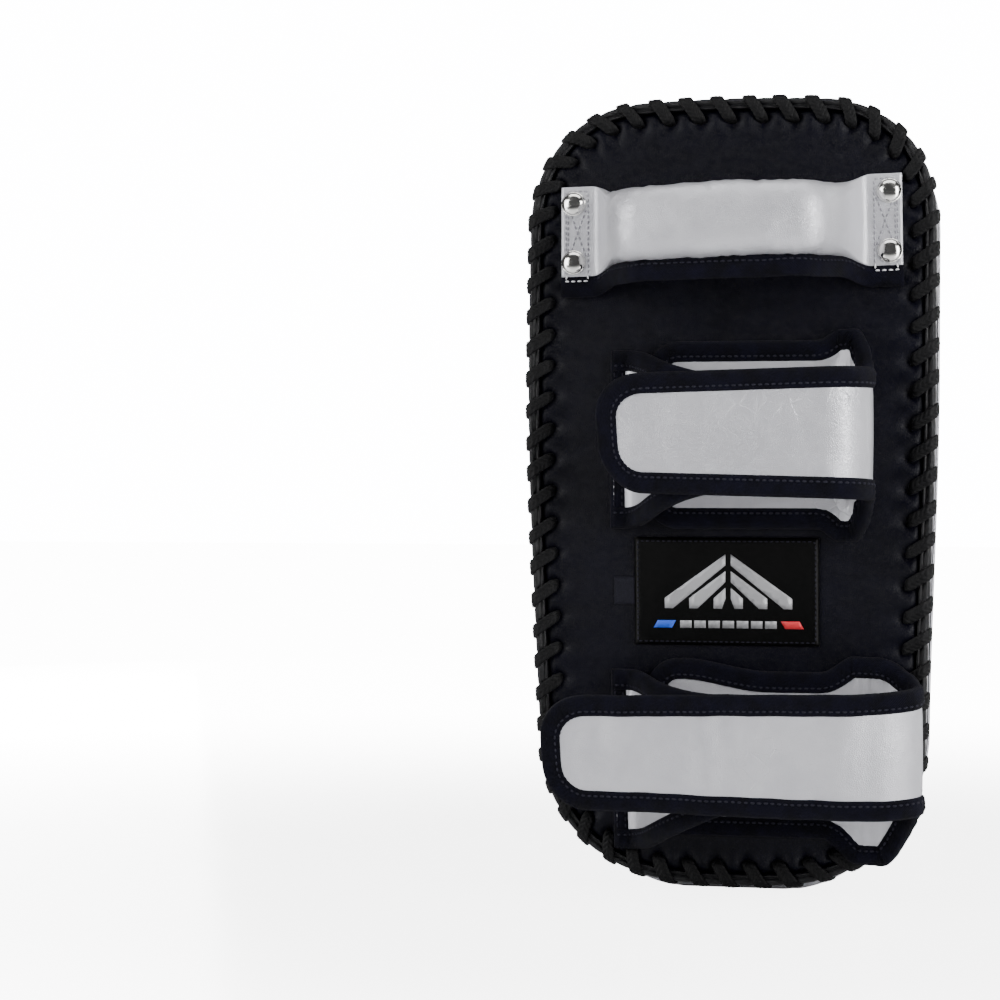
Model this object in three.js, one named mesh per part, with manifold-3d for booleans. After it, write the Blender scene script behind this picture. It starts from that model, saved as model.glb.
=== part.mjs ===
// Curved Thai kick pad: a bowed, foam-filled striking pad with a laced back panel,
// a riveted padded handle and two hook-and-loop forearm cuffs.
// Millimetres. +X is the width, +Y points out of the striking face, +Z is up the pad.
// The origin is the centre of the flat that the pad stands on.
import * as THREE from 'three';
import Module from 'manifold-3d';

const wasm = await Module();
wasm.setup();

// ---- Driving dimensions --------------------------------------------------------------
const GAP = 0.4;                 // clearance between neighbouring pieces
const SEAM_BOTTOM = 4.6;         // height of the lowest point of the edge seam
const SEAM_TOP = 387;            // height of the highest point of the edge seam
const HALF_WIDTH_TOP = 97.5;     // half width of the upper body at the seam
const HALF_WIDTH_BOTTOM = 92.5;  // half width of the lower body at the seam
const BOW = 16;                  // how far the middle sits behind the two ends
const BACK = -38;                // back panel's outer face, from the bowed middle surface
const FRONT_SEAM = 34;           // front seam, from the bowed middle surface
const FRONT_CROWN = 11;          // pillow height of the striking face above its edge
const LEATHER = 2.4;             // panel thickness
const OUTLINE_STEPS = 60;        // points round the outline, an even number
const SPINE = [96, 292];         // heights between which the layers narrow straight to the middle line
const FRONT_LIFT = 3;            // front panel's edge above the front seam
const FRONT_EDGE = 4.3;          // front panel's edge, in from the seam
const BACK_EDGE = 5;             // back panel's edge, in from the seam
const FOAM_EDGE = 7;             // foam layers' edge, in from the seam
const FOAM_SPACE = 1.5;          // room between the striking foam and its panel
const FOAM_JOINTS = [15, 14, -11, -12];  // faces where the foam layers meet, from the front
const GUSSET_EDGES = [BACK + 6, FRONT_SEAM - 0.2];
const GUSSET_WALL = 1.8;
const GUSSET_TAPER = 2;          // how much narrower the side wall is at its front edge
const GUSSET_BULGE = 2.2;
const FOOT_BULGE = 6;            // extra bulge at the lower end, pressed flat at the origin's height
const PIPING = [1.3, 1.1];       // half the width and half the height of the front piping
const PIPING_INSET = 2.4;
const MIDDLE = (SEAM_BOTTOM + SEAM_TOP) / 2;
const HALF_LENGTH = MIDDLE;

const WELT = 0.8;                // how far the edge welt stands above the back panel
const WELT_DEPTH = 5.5;          // how far it reaches in front of the panel's face
const WELT_EDGES = [-3.6, 1];    // its inner and outer edges, from the seam
const LACE_PITCH = 15.5;         // distance between lacing holes
const LACE_RADIUS = 1;
const LACE_INSET = 9;            // lacing holes, in from the seam

// Each cuff: its height; its base band and turn in x; the heights of its parts' edges, from its own height.
const CUFFS = [
  { name: 'upper', z: 224, base: [-40, 48], turn: 21, tailTip: -57, tailHalf: [31.5, 28], rootX: -50, flapTip: 36,
    bandZ: [-46, 45], turnZ: [-52, 50], rootZ: [-46, 41], tailZ: -1 },
  { name: 'lower', z: 70, base: [-40, 52], turn: 40, tailTip: -85, tailHalf: [31, 27.5], rootX: -50, flapTip: 52,
    bandZ: [-42, 46], turnZ: [-54, 48], rootZ: [-50, 40], tailZ: 7 },
];
const BAND_DEPTH = 3.4;          // middle of the base band, out from the back panel
const FOLD_GAP = 0.025;          // half the angle left free at the fold line
const TURN_DEPTH = 20.8;         // half the distance that the strap's turn spans
const FOLD_DEPTH = BAND_DEPTH + TURN_DEPTH;
const TAIL_DEPTH = BAND_DEPTH + 2 * TURN_DEPTH;
const STRAP = 4;                 // strap thickness
const BINDING = 5;               // thickness of a bound edge
const BINDING_WIDTH = 9;         // width of a bound edge
const FLAP_DEPTH = 37;           // middle of the inner flap where it lies under the tail
const FLAP_RISE = 44;            // how far the flap runs before it lies flat under the tail
const ROOT_DEPTH = 2.7;          // middle of the flap's sewn root
const FLAP = 3.4;                // flap thickness
const TAPE = 1.1;                // hook or loop tape thickness
const TAPE_HALF = 16;            // half the width of a tape

const HANDLE_Z = 325;
const HANDLE_ROLL = 1.2 * Math.PI / 180;
const TAB_OUTER = 83;
const TAB_INNER = 67;
const TAB_HALF_HEIGHT = 22.4;
const GRIP_HALF_HEIGHT = 17.5;
const GRIP_HALF_DEPTH = 12;
const GRIP_DEPTH = 44;           // middle of the grip, out from the back panel
const GRIP_ARCH = 8;             // extra depth at the middle of the grip
const GRIP_DROP = 5.3;           // how far the grip hangs below the tabs' middle
const TAB_DEPTH = 2.2;           // middle of the riveted tabs
const COVER = 1.8;               // handle leather
const TAB_HALF = 1.4;            // half the thickness of the riveted tabs
const RIVET_X = 77;
const RIVET_Z = 14.6;            // rivets above and below their middle
const RIVET_DROP = 0.8;          // their middle, below the tabs' middle
const RIVET_HEAD = 5.9;
const RIVET_SHANK = 1.8;
const RIVET_DOME = 2.6;
const RIVET_CLENCH = 3.2;        // radius of the shank's clenched end
const WASHER = [2.2, 5.5, 1.2];  // bore radius, outer radius and thickness
const ROUND = 12;                // facets round a rivet or a hole

// ---- Materials -----------------------------------------------------------------------
const finish = (colour, roughness, metalness = 0) =>
  new THREE.MeshStandardMaterial({ color: new THREE.Color(colour), roughness, metalness });
const blackLeather = finish('#26252f', 0.55);
const silverLeather = finish('#c3c2c9', 0.38, 0.25);
const webbing = finish('#12121f', 0.85);
const lace = finish('#0e0e12', 0.8);
const foam = finish('#3b3b3f', 0.95);
const chrome = finish('#dcdcd8', 0.15, 1);
const patchFabric = finish('#08080a', 0.6);
const hookTape = finish('#141418', 0.9);

// ---- Solid building ------------------------------------------------------------------
const root = new THREE.Group();

/** A closed geometry from points and triangles: equal points are joined, empty triangles dropped. */
function solid(points, triangles) {
  const keys = new Map();
  const kept = [];
  const index = points.map((p) => {
    const key = [p.x, p.y, p.z].map((v) => Math.round(v * 1e4)).join(',');
    if (!keys.has(key)) {
      keys.set(key, kept.length);
      kept.push(p);
    }
    return keys.get(key);
  });
  const faces = [];
  for (const [a, b, c] of triangles) {
    const [i, j, k] = [index[a], index[b], index[c]];
    if (i !== j && j !== k && k !== i) faces.push([i, j, k]);
  }
  let volume = 0;
  for (const [i, j, k] of faces) {
    volume += kept[i].dot(new THREE.Vector3().crossVectors(kept[j], kept[k]));
  }
  const turned = volume < 0 ? faces.map(([i, j, k]) => [i, k, j]) : faces;
  const geometry = new THREE.BufferGeometry();
  geometry.setAttribute('position', new THREE.Float32BufferAttribute(kept.flatMap((p) => [p.x, p.y, p.z]), 3));
  geometry.setIndex(turned.flat());
  return geometry;
}

/** Skins a row of sections, each an array of 2-D points. place(i, point) puts a point in space. */
function loft(sections, place, closed = false) {
  const count = sections[0].length;
  const points = sections.flatMap((section, i) => section.map((p) => place(i, p)));
  const triangles = [];
  const rows = closed ? sections.length : sections.length - 1;
  for (let i = 0; i < rows; i++) {
    const next = (i + 1) % sections.length;
    for (let j = 0; j < count; j++) {
      const k = (j + 1) % count;
      triangles.push([i * count + j, next * count + j, next * count + k]);
      triangles.push([i * count + j, next * count + k, i * count + k]);
    }
  }
  if (!closed) {
    const cap = THREE.ShapeUtils.triangulateShape(sections[0], []);
    const last = (sections.length - 1) * count;
    for (const [a, b, c] of cap) triangles.push([a, b, c]);
    const end = THREE.ShapeUtils.triangulateShape(sections.at(-1), []);
    for (const [a, b, c] of end) triangles.push([last + a, last + c, last + b]);
  }
  return solid(points, orient(triangles, points, closed ? null : count));
}

/** Flips the end caps where their winding disagrees with the skin, so that every edge is shared both ways. */
function orient(triangles, points, count) {
  if (count === null) return triangles;
  const edges = new Set();
  const fixed = [];
  const skin = triangles.filter((t) => !isCap(t, count, points.length));
  for (const t of skin) {
    fixed.push(t);
    t.forEach((v, n) => edges.add(`${v},${t[(n + 1) % 3]}`));
  }
  for (const side of [0, 1]) {
    const cap = triangles.filter((t) => isCap(t, count, points.length) && (t[0] < count ? 0 : 1) === side);
    const clash = cap.some((t) => t.some((v, n) => edges.has(`${v},${t[(n + 1) % 3]}`)));
    for (const [a, b, c] of cap) fixed.push(clash ? [a, c, b] : [a, b, c]);
  }
  return fixed;
}

function isCap(t, count, total) {
  return t.every((v) => v < count) || t.every((v) => v >= total - count);
}

function toManifold(geometry) {
  const flat = geometry.index ? geometry : indexed(geometry);
  return new wasm.Manifold(new wasm.Mesh({
    numProp: 3,
    vertProperties: new Float32Array(flat.attributes.position.array),
    triVerts: new Uint32Array(flat.index.array),
  }));
}

/** Joins a class geometry's shared vertices by position alone. */
function indexed(geometry) {
  const source = geometry.index ? geometry.toNonIndexed() : geometry;
  const position = source.attributes.position;
  const points = [];
  for (let i = 0; i < position.count; i++) points.push(new THREE.Vector3().fromBufferAttribute(position, i));
  const triangles = [];
  for (let i = 0; i < points.length; i += 3) triangles.push([i, i + 1, i + 2]);
  return solid(points, triangles);
}

function fromManifold(body) {
  const mesh = body.getMesh();
  const geometry = new THREE.BufferGeometry();
  geometry.setAttribute('position', new THREE.Float32BufferAttribute(mesh.vertProperties, 3));
  geometry.setIndex(Array.from(mesh.triVerts));
  return geometry;
}

function cut(geometry, ...tools) {
  const body = tools.reduce((left, tool) => left.subtract(toManifold(tool)), toManifold(geometry));
  return fromManifold(body);
}

function add(name, geometry, material, parent = root) {
  const mesh = new THREE.Mesh(geometry, material);
  mesh.name = name;
  parent.add(mesh);
  return mesh;
}

// ---- The bowed body and its outline ----------------------------------------------------
/** Y of the bowed middle surface at height z: zero at the ends, -BOW half way up. */
const bowY = (z) => -BOW * (1 - ((z - MIDDLE) / HALF_LENGTH) ** 2);
const bowSlope = (z) => 2 * BOW * (z - MIDDLE) / HALF_LENGTH ** 2;

/** Right half of the edge seam from the bottom centre to the top centre, then mirrored. */
function seamOutline() {
  const path = new THREE.Path();
  path.moveTo(0, SEAM_BOTTOM);
  path.bezierCurveTo(12, SEAM_BOTTOM, 22, SEAM_BOTTOM + 0.2, 30, SEAM_BOTTOM + 1.2);
  path.bezierCurveTo(66, SEAM_BOTTOM + 5, HALF_WIDTH_BOTTOM - 1, 36, HALF_WIDTH_BOTTOM, 72);
  path.bezierCurveTo(HALF_WIDTH_BOTTOM + 1, 130, HALF_WIDTH_TOP - 0.3, 190, HALF_WIDTH_TOP, 250);
  path.lineTo(HALF_WIDTH_TOP, 326);
  path.bezierCurveTo(HALF_WIDTH_TOP, 360, 76, SEAM_TOP - 3, 44, SEAM_TOP - 1.2);
  path.bezierCurveTo(28, SEAM_TOP - 0.3, 14, SEAM_TOP, 0, SEAM_TOP);
  const right = path.getSpacedPoints(OUTLINE_STEPS / 2);
  right[0].x = 0;
  right.at(-1).x = 0;
  const left = right.slice(1, -1).reverse().map((p) => new THREE.Vector2(-p.x, p.y));
  return [...right, ...left];
}

const SEAM = seamOutline();
const SEAM_NORMALS = SEAM.map((p, k) => {
  const before = SEAM[(k + SEAM.length - 1) % SEAM.length];
  const after = SEAM[(k + 1) % SEAM.length];
  return new THREE.Vector2(after.y - before.y, before.x - after.x).normalize();
});

/** The seam outline moved outward by offset, at point k. */
const seamPoint = (k, offset) => SEAM[k].clone().addScaledVector(SEAM_NORMALS[k], offset);

const onBow = (x, y, z) => new THREE.Vector3(x, bowY(z) + y, z);

/** A layer inside the outline. front(t) and back(t) give its faces, t being 1 at the edge and 0 at the middle. */
function layer(offset, front, back, rings = [1, 0.93, 0.8, 0.5, 0]) {
  const count = SEAM.length;
  const points = [];
  for (const face of [front, back]) {
    for (const t of rings) {
      for (let k = 0; k < count; k++) {
        const edge = seamPoint(k, offset);
        const spine = THREE.MathUtils.clamp(edge.y, ...SPINE);
        const z = spine + (edge.y - spine) * t;
        points.push(onBow(edge.x * t, face(t), z));
      }
    }
  }
  const triangles = [];
  const second = rings.length * count;
  for (let k = 0; k < count; k++) {
    const n = (k + 1) % count;
    for (let j = 0; j < rings.length - 1; j++) {
      const [a, b, c, d] = [j * count + k, j * count + n, (j + 1) * count + n, (j + 1) * count + k];
      triangles.push([a, b, c], [a, c, d]);
      triangles.push([second + a, second + c, second + b], [second + a, second + d, second + c]);
    }
    triangles.push([k, second + k, second + n], [k, second + n, n]);
  }
  return solid(points, triangles);
}

/** A closed band round the outline from a section of [outward offset, y] points. */
function band(section, shape = (k, p) => [seamPoint(k, p.x), p.y]) {
  const sections = SEAM.map(() => section.map(([offset, y]) => new THREE.Vector2(offset, y)));
  return loft(sections, (k, p) => {
    const [at, y] = shape(k, p);
    return onBow(at.x, y, at.y);
  }, true);
}

// ---- Body ------------------------------------------------------------------------------
const frontFace = (t) => FRONT_SEAM + FRONT_LIFT + FRONT_CROWN * (1 - t ** 4);

function addBody() {
  const flat = [1, 0.5, 0];
  const [strikeBack, coreFront, coreBack, backFront] = FOAM_JOINTS;
  add('front_panel', layer(-FRONT_EDGE, frontFace, (t) => frontFace(t) - LEATHER), blackLeather);
  add('strike_foam', layer(-FOAM_EDGE, (t) => frontFace(t) - LEATHER - FOAM_SPACE, () => strikeBack), foam);
  add('core_foam', layer(-FOAM_EDGE, () => coreFront, () => coreBack, flat), foam);
  const pockets = rivetPlaces().map(([x, z]) => backCylinder(x, z, 8, 0, 8));
  const backFoam = layer(-FOAM_EDGE, () => backFront, () => BACK + LEATHER + 2 * GAP, flat);
  add('back_foam', cut(backFoam, ...pockets), foam);
  const holes = rivetPlaces().map(([x, z]) => backCylinder(x, z, RIVET_SHANK + GAP, -2, 6));
  add('back_panel', cut(layer(-BACK_EDGE, () => BACK + LEATHER, () => BACK, flat), ...holes), blackLeather);
  add('side_gusset', gusset(), silverLeather);
  const [inner, outer] = WELT_EDGES;
  const welt = [[inner, BACK - WELT], [outer, BACK - WELT], [outer, BACK + WELT_DEPTH], [inner, BACK + WELT_DEPTH]];
  add('edge_welt', band(welt), blackLeather);
  const pipe = [0, 1, 2, 3, 4].map((n) => n * 2 * Math.PI / 5).map((a) =>
    [-PIPING_INSET + PIPING[0] * Math.cos(a), FRONT_SEAM + PIPING[1] * Math.sin(a) + 1.4]);
  add('front_piping', band(pipe), silverLeather);
}

/** The side wall bulges a little between its two seams and is pressed flat where the pad stands. */
function gusset() {
  const [first, last] = GUSSET_EDGES;
  const steps = [0, 0.07, 0.5, 0.93, 1];
  const outer = steps.map((v) => [v, 0]);
  const inner = [...steps].reverse().map((v) => [v, 1]);
  return band([...outer, ...inner], (k, p) => {
    const down = Math.max(0, -SEAM_NORMALS[k].y) ** 8;
    const bulge = (GUSSET_BULGE + FOOT_BULGE * down) * (1 - Math.abs(2 * p.x - 1) ** 8);
    const taper = -GAP - GUSSET_TAPER * p.x;
    const at = seamPoint(k, taper + bulge - p.y * GUSSET_WALL);
    at.y = Math.max(at.y, p.y * GUSSET_WALL);
    return [at, first + (last - first) * p.x];
  });
}

/** The lace runs in and out of the row of holes, over the welt, and its two ends meet at the bottom. */
function addLace() {
  const curve = new THREE.CatmullRomCurve3(SEAM.map((p) => new THREE.Vector3(p.x, 0, p.y)), true);
  const length = curve.getLength();
  const stitches = Math.round(length / LACE_PITCH);
  const route = [];
  const over = -(WELT + 2 * GAP + LACE_RADIUS);
  const outside = WELT_EDGES[1] + 2 * GAP + LACE_RADIUS;
  const steps = [[0, -LACE_INSET, over + 1], [0.22, outside, over], [0.45, outside, 3], [0.68, outside, over]];
  for (let i = 0; i < stitches - 1; i++) {
    for (const [along, offset, y] of steps) {
      const u = (i + 0.6 + along) / stitches;
      const at = curve.getPointAt(u % 1);
      const tangent = curve.getTangentAt(u % 1);
      const x = at.x + tangent.z * offset;
      const z = Math.max(at.z - tangent.x * offset, LACE_RADIUS + 0.3);
      route.push(onBow(x, BACK + y, z));
    }
  }
  add('lacing_cord', tubeAlong(route, LACE_RADIUS, 4), lace);
}

/** A closed tube with a small round section along a list of points. */
function tubeAlong(route, radius, sides) {
  const sections = route.map(() => Array.from({ length: sides }, (_, n) => {
    const a = n * 2 * Math.PI / sides;
    return new THREE.Vector2(radius * Math.cos(a), radius * Math.sin(a));
  }));
  const frames = route.map((p, i) => {
    const along = new THREE.Vector3()
      .subVectors(route[Math.min(i + 1, route.length - 1)], route[Math.max(i - 1, 0)]).normalize();
    const side = new THREE.Vector3().crossVectors(along, new THREE.Vector3(0, -1, 0.05)).normalize();
    return [side, new THREE.Vector3().crossVectors(side, along)];
  });
  return loft(sections, (i, p) => route[i].clone()
    .addScaledVector(frames[i][0], p.x).addScaledVector(frames[i][1], p.y));
}

// ---- Pieces on the back ----------------------------------------------------------------
/** A group on the back panel at height z: its local -Y points straight out of the panel there. */
function backFrame(z, roll = 0) {
  const group = new THREE.Group();
  group.position.set(0, bowY(z) + BACK, z);
  group.rotation.order = 'XYZ';
  group.rotation.x = -Math.atan(bowSlope(z));
  group.rotation.y = roll;
  root.add(group);
  return group;
}

/** A strap: stations along its plan path, thickness across it, and its width grown by grow on both edges. */
function strap(stations, thickness, grow = 0) {
  const sections = stations.map(({ low, high }) => [
    new THREE.Vector2(-thickness / 2, low - grow), new THREE.Vector2(thickness / 2, low - grow),
    new THREE.Vector2(thickness / 2, high + grow), new THREE.Vector2(-thickness / 2, high + grow)]);
  return loft(sections, (i, p) => {
    const { at, along } = stations[i];
    return new THREE.Vector3(at.x + along.y * p.x, -at.y + along.x * p.x, p.y);
  });
}

/** One station of a strap: a plan point (x, depth), its direction, and the strap's low and high edges there. */
const station = (x, depth, low, high, along = new THREE.Vector2(1, 0)) =>
  ({ at: new THREE.Vector2(x, depth), along, low, high });

/** Stations along a plan curve, its width given by low(s) and high(s) with s in mm from the start. */
function stationsAlong(curve, steps, low, high) {
  const length = curve.getLength();
  return Array.from({ length: steps + 1 }, (_, i) => {
    const u = i / steps;
    const p = curve.getPointAt(u);
    const tangent = curve.getTangentAt(u);
    return station(p.x, p.y, low(u * length), high(u * length), new THREE.Vector2(tangent.x, tangent.y));
  });
}

/** Rounds a strap's end: how much of the half width is lost at distance s from the tip. */
function roundEnd(s, radius, most) {
  if (s >= radius) return 0;
  return most * (1 - Math.sqrt(Math.max(0, 1 - (1 - s / radius) ** 2)));
}

/** A straight stretch of a plan path, from (x0, depth) to (x1, depth). */
const level = (x0, x1, depth) => new THREE.LineCurve(new THREE.Vector2(x0, depth), new THREE.Vector2(x1, depth));

/** Plan path of a cuff's base band: flat along the panel, then a quarter turn out to the fold. */
function basePath(cuff) {
  const path = new THREE.CurvePath();
  path.add(level(cuff.base[0], cuff.base[1], BAND_DEPTH));
  path.add(new THREE.EllipseCurve(cuff.base[1], FOLD_DEPTH, cuff.turn, TURN_DEPTH, -Math.PI / 2, -FOLD_GAP));
  return path;
}

/** Plan path of the tail: from the fold, a quarter turn back over the arm space, then left to its tip. */
function tailPath(cuff) {
  const path = new THREE.CurvePath();
  path.add(new THREE.EllipseCurve(cuff.base[1], FOLD_DEPTH, cuff.turn, TURN_DEPTH, FOLD_GAP, Math.PI / 2));
  path.add(level(cuff.base[1], cuff.tailTip, TAIL_DEPTH));
  return path;
}

/** Plan path of the inner flap: it leaves its sewn root, climbs away from the panel and runs under the tail. */
function flapPath(cuff) {
  const x = cuff.rootX;
  const path = new THREE.CurvePath();
  const points = [[x, ROOT_DEPTH], [x + 12, ROOT_DEPTH], [x + 14, FLAP_DEPTH], [x + FLAP_RISE, FLAP_DEPTH]];
  path.add(new THREE.CubicBezierCurve(...points.map(([px, depth]) => new THREE.Vector2(px, depth))));
  path.add(level(x + FLAP_RISE, cuff.flapTip, FLAP_DEPTH));
  return path;
}

function addCuff(cuff) {
  const frame = backFrame(cuff.z);

  const base = basePath(cuff);
  const baseLength = base.getLength();
  const turnLength = baseLength - (cuff.base[1] - cuff.base[0]);
  const flare = (s) => THREE.MathUtils.smoothstep(s, baseLength - turnLength * 0.7, baseLength - turnLength * 0.35);
  const narrow = (s) => THREE.MathUtils.smoothstep(s, baseLength - turnLength * 0.35, baseLength);
  const edge = (s, index, sign) => {
    const wide = THREE.MathUtils.lerp(cuff.bandZ[index], cuff.turnZ[index], flare(s));
    const joined = THREE.MathUtils.lerp(wide, cuff.tailZ + sign * cuff.tailHalf[0], narrow(s));
    return joined - sign * roundEnd(s, 24, 22);
  };
  const baseStations = stationsAlong(base, 22, (s) => edge(s, 0, -1), (s) => edge(s, 1, 1));
  addBound(`${cuff.name}_base_band`, `${cuff.name}_base_binding`, baseStations, frame, 24);

  const tail = tailPath(cuff);
  const tailLength = tail.getLength();
  const half = (s) => THREE.MathUtils.lerp(cuff.tailHalf[0], cuff.tailHalf[1], s / tailLength)
    - roundEnd(tailLength - s, 22, 20);
  const tailStations = stationsAlong(tail, 24, (s) => cuff.tailZ - half(s), (s) => cuff.tailZ + half(s));
  addBound(`${cuff.name}_tail`, `${cuff.name}_tail_binding`, [...tailStations].reverse(), frame, 22);

  const flap = flapPath(cuff);
  const flapLength = flap.getLength();
  const tip = cuff.tailHalf[1] - 1;
  const taper = (s) => THREE.MathUtils.smoothstep(s, 0, flapLength * 0.75);
  const flapStations = stationsAlong(flap, 18,
    (s) => THREE.MathUtils.lerp(cuff.rootZ[0], cuff.tailZ - tip, taper(s)),
    (s) => THREE.MathUtils.lerp(cuff.rootZ[1], cuff.tailZ + tip, taper(s)));
  addBound(`${cuff.name}_flap`, `${cuff.name}_flap_binding`, [...flapStations].reverse(), frame, 0, FLAP, FLAP + 0.6);
  const rootStations = [cuff.rootX - 6, cuff.rootX - GAP].map((x) => station(x, ROOT_DEPTH, ...cuff.rootZ));
  add(`${cuff.name}_flap_root`, strap(rootStations, FLAP), blackLeather, frame);

  const tape = (from, to, depth) => strap([from, to]
    .map((x) => station(x, depth, cuff.tailZ - TAPE_HALF, cuff.tailZ + TAPE_HALF)), TAPE);
  const tapeStart = cuff.rootX + FLAP_RISE + 2;
  const loopDepth = FLAP_DEPTH + FLAP / 2 + GAP + TAPE / 2;
  add(`${cuff.name}_loop_tape`, tape(tapeStart, cuff.flapTip - 12, loopDepth), hookTape, frame);
  const hookDepth = TAIL_DEPTH - STRAP / 2 - GAP - TAPE / 2;
  add(`${cuff.name}_hook_tape`, tape(tapeStart, tapeStart + 42, hookDepth), hookTape, frame);
}

/** A leather strap and the bound edge round it. Its first station is the closed end, rounded if endRadius > 0. */
function addBound(name, bindingName, outer, frame, endRadius, thickness = STRAP, boundThickness = BINDING) {
  const distance = [0];
  for (let i = 1; i < outer.length; i++) distance.push(distance[i - 1] + outer[i].at.distanceTo(outer[i - 1].at));
  const first = distance.findIndex((d) => d >= BINDING_WIDTH);
  const inner = outer.slice(first).map((s, i) => {
    const fromEnd = distance[first + i] - distance[first] + 1;
    const lost = endRadius > 0 ? roundEnd(fromEnd, endRadius - BINDING_WIDTH, 12) : 0;
    const squeeze = BINDING_WIDTH + Math.min(lost, (s.high - s.low) / 2 - BINDING_WIDTH - 3);
    return { ...s, low: s.low + squeeze, high: s.high - squeeze };
  });
  add(bindingName, cut(strap(outer, boundThickness), strap(extend(inner), boundThickness + 4)), webbing, frame);
  add(name, strap(inner, thickness, -2.5 * GAP), silverLeather, frame);
}

/** The same stations, reaching the gap further at the closed end and past the strap at the open end. */
function extend(inner) {
  const push = (s, by) => ({ ...s, at: s.at.clone().addScaledVector(s.along, by) });
  const direction = Math.sign(inner[1].at.clone().sub(inner[0].at).dot(inner[0].along));
  return [push(inner[0], -direction * GAP), ...inner, push(inner.at(-1), direction * 3)];
}

function addPatch() {
  const frame = backFrame(147.5);
  add('rear_patch', strap([-46, 44].map((x) => station(x, 1.1, -26, 26.5)), 1.2), patchFabric, frame);
  add('size_tag', strap([-56, -46.5].map((x) => station(x, 0.9, -6.5, 7)), 0.6), webbing, frame);
}

// ---- Handle ----------------------------------------------------------------------------
function rivetPlaces() {
  const places = [];
  for (const side of [-1, 1]) for (const level of [-1, 1]) places.push([side * RIVET_X, level * RIVET_Z - RIVET_DROP]);
  return places;
}

/** A cylinder square to the back panel at the handle, from depth a to depth b below its outer face. */
function backCylinder(x, z, radius, from, to) {
  const geometry = new THREE.CylinderGeometry(radius, radius, to - from, ROUND);
  const group = handleMatrix();
  geometry.translate(x, (from + to) / 2, z);
  geometry.applyMatrix4(group);
  return indexed(geometry);
}

function handleMatrix() {
  const group = backFrame(HANDLE_Z, HANDLE_ROLL * -1);
  group.updateMatrixWorld(true);
  root.remove(group);
  return group.matrixWorld;
}

/** Depth of the handle's middle line at x. */
function gripDepth(x) {
  const rise = THREE.MathUtils.smoothstep(TAB_INNER - Math.abs(x), 0, 30);
  const arch = 1 - (Math.min(Math.abs(x), TAB_INNER) / TAB_INNER) ** 2;
  return TAB_DEPTH + (GRIP_DEPTH - GRIP_ARCH - TAB_DEPTH) * rise + GRIP_ARCH * arch * rise;
}

/** The handle at x: depth of its middle, the slope of that line, its drop, half height and half thickness. */
function gripAt(x) {
  const inside = TAB_INNER - Math.abs(x);
  const shoulder = THREE.MathUtils.smoothstep(inside, 0, 14);
  return {
    depth: gripDepth(x),
    slope: gripDepth(x + 0.5) - gripDepth(x - 0.5),
    drop: GRIP_DROP * THREE.MathUtils.smoothstep(inside, 0, 30),
    height: THREE.MathUtils.lerp(TAB_HALF_HEIGHT, GRIP_HALF_HEIGHT, shoulder),
    thick: THREE.MathUtils.lerp(TAB_HALF, GRIP_HALF_DEPTH, THREE.MathUtils.smoothstep(inside, 2, 26)),
  };
}

function gripSections(xs, shrink, slit) {
  const sides = 10;
  return xs.map((x) => {
    const { height, thick } = gripAt(x);
    const ring = (a, b) => Array.from({ length: sides + 1 }, (_, n) => {
      const angle = -Math.PI / 2 + slit + (2 * Math.PI - 2 * slit) * n / sides;
      const flat = Math.min(1, thick / 6);
      const power = THREE.MathUtils.lerp(0.35, 0.8, flat);
      const c = Math.cos(angle);
      const s = Math.sin(angle);
      return new THREE.Vector2(b * Math.sign(c) * Math.abs(c) ** power, a * Math.sign(s) * Math.abs(s) ** power);
    });
    if (slit === 0) return ring(height - shrink, Math.max(thick - shrink, 0.3)).slice(0, sides);
    const wall = Math.min(COVER, thick * 0.6);
    return [...ring(height, thick), ...ring(height - COVER, thick - wall).reverse()];
  });
}

function placeGrip(xs) {
  return (i, p) => {
    const { depth, slope, drop } = gripAt(xs[i]);
    const tilt = Math.atan(slope);
    return new THREE.Vector3(xs[i] + p.x * Math.sin(tilt), -depth + p.x * Math.cos(tilt), p.y - drop);
  };
}

function addHandle() {
  const frame = backFrame(HANDLE_Z, HANDLE_ROLL * -1);
  const half = [0, 17, 34, 44, 51, 57, 62, 67, TAB_OUTER];
  const xs = [...half.slice(1).reverse().map((x) => -x), ...half];
  const holes = rivetPlaces().map(([x, z]) => {
    const hole = new THREE.CylinderGeometry(RIVET_SHANK + GAP, RIVET_SHANK + GAP, 12, ROUND);
    hole.translate(x, -2, z);
    return indexed(hole);
  });
  add('handle_cover', cut(loft(gripSections(xs, 0, 0.09), placeGrip(xs)), ...holes), silverLeather, frame);
  const roll = xs.filter((x) => Math.abs(x) <= 51);
  add('handle_foam', loft(gripSections(roll, COVER + 2 * GAP, 0), placeGrip(roll)), foam, frame);
  const tape = xs.map((x) => {
    const { depth, height, slope, drop } = gripAt(x);
    const top = -drop - height - GAP;
    return station(x, depth, top + GAP - 9.5, top, new THREE.Vector2(1, slope).normalize());
  });
  add('handle_binding', strap(tape, 2.6), webbing, frame);
  const names = ['left_lower', 'left_upper', 'right_lower', 'right_upper'];
  rivetPlaces().forEach(([x, z], n) => addRivet(names[n], x, z, frame));
}

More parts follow.
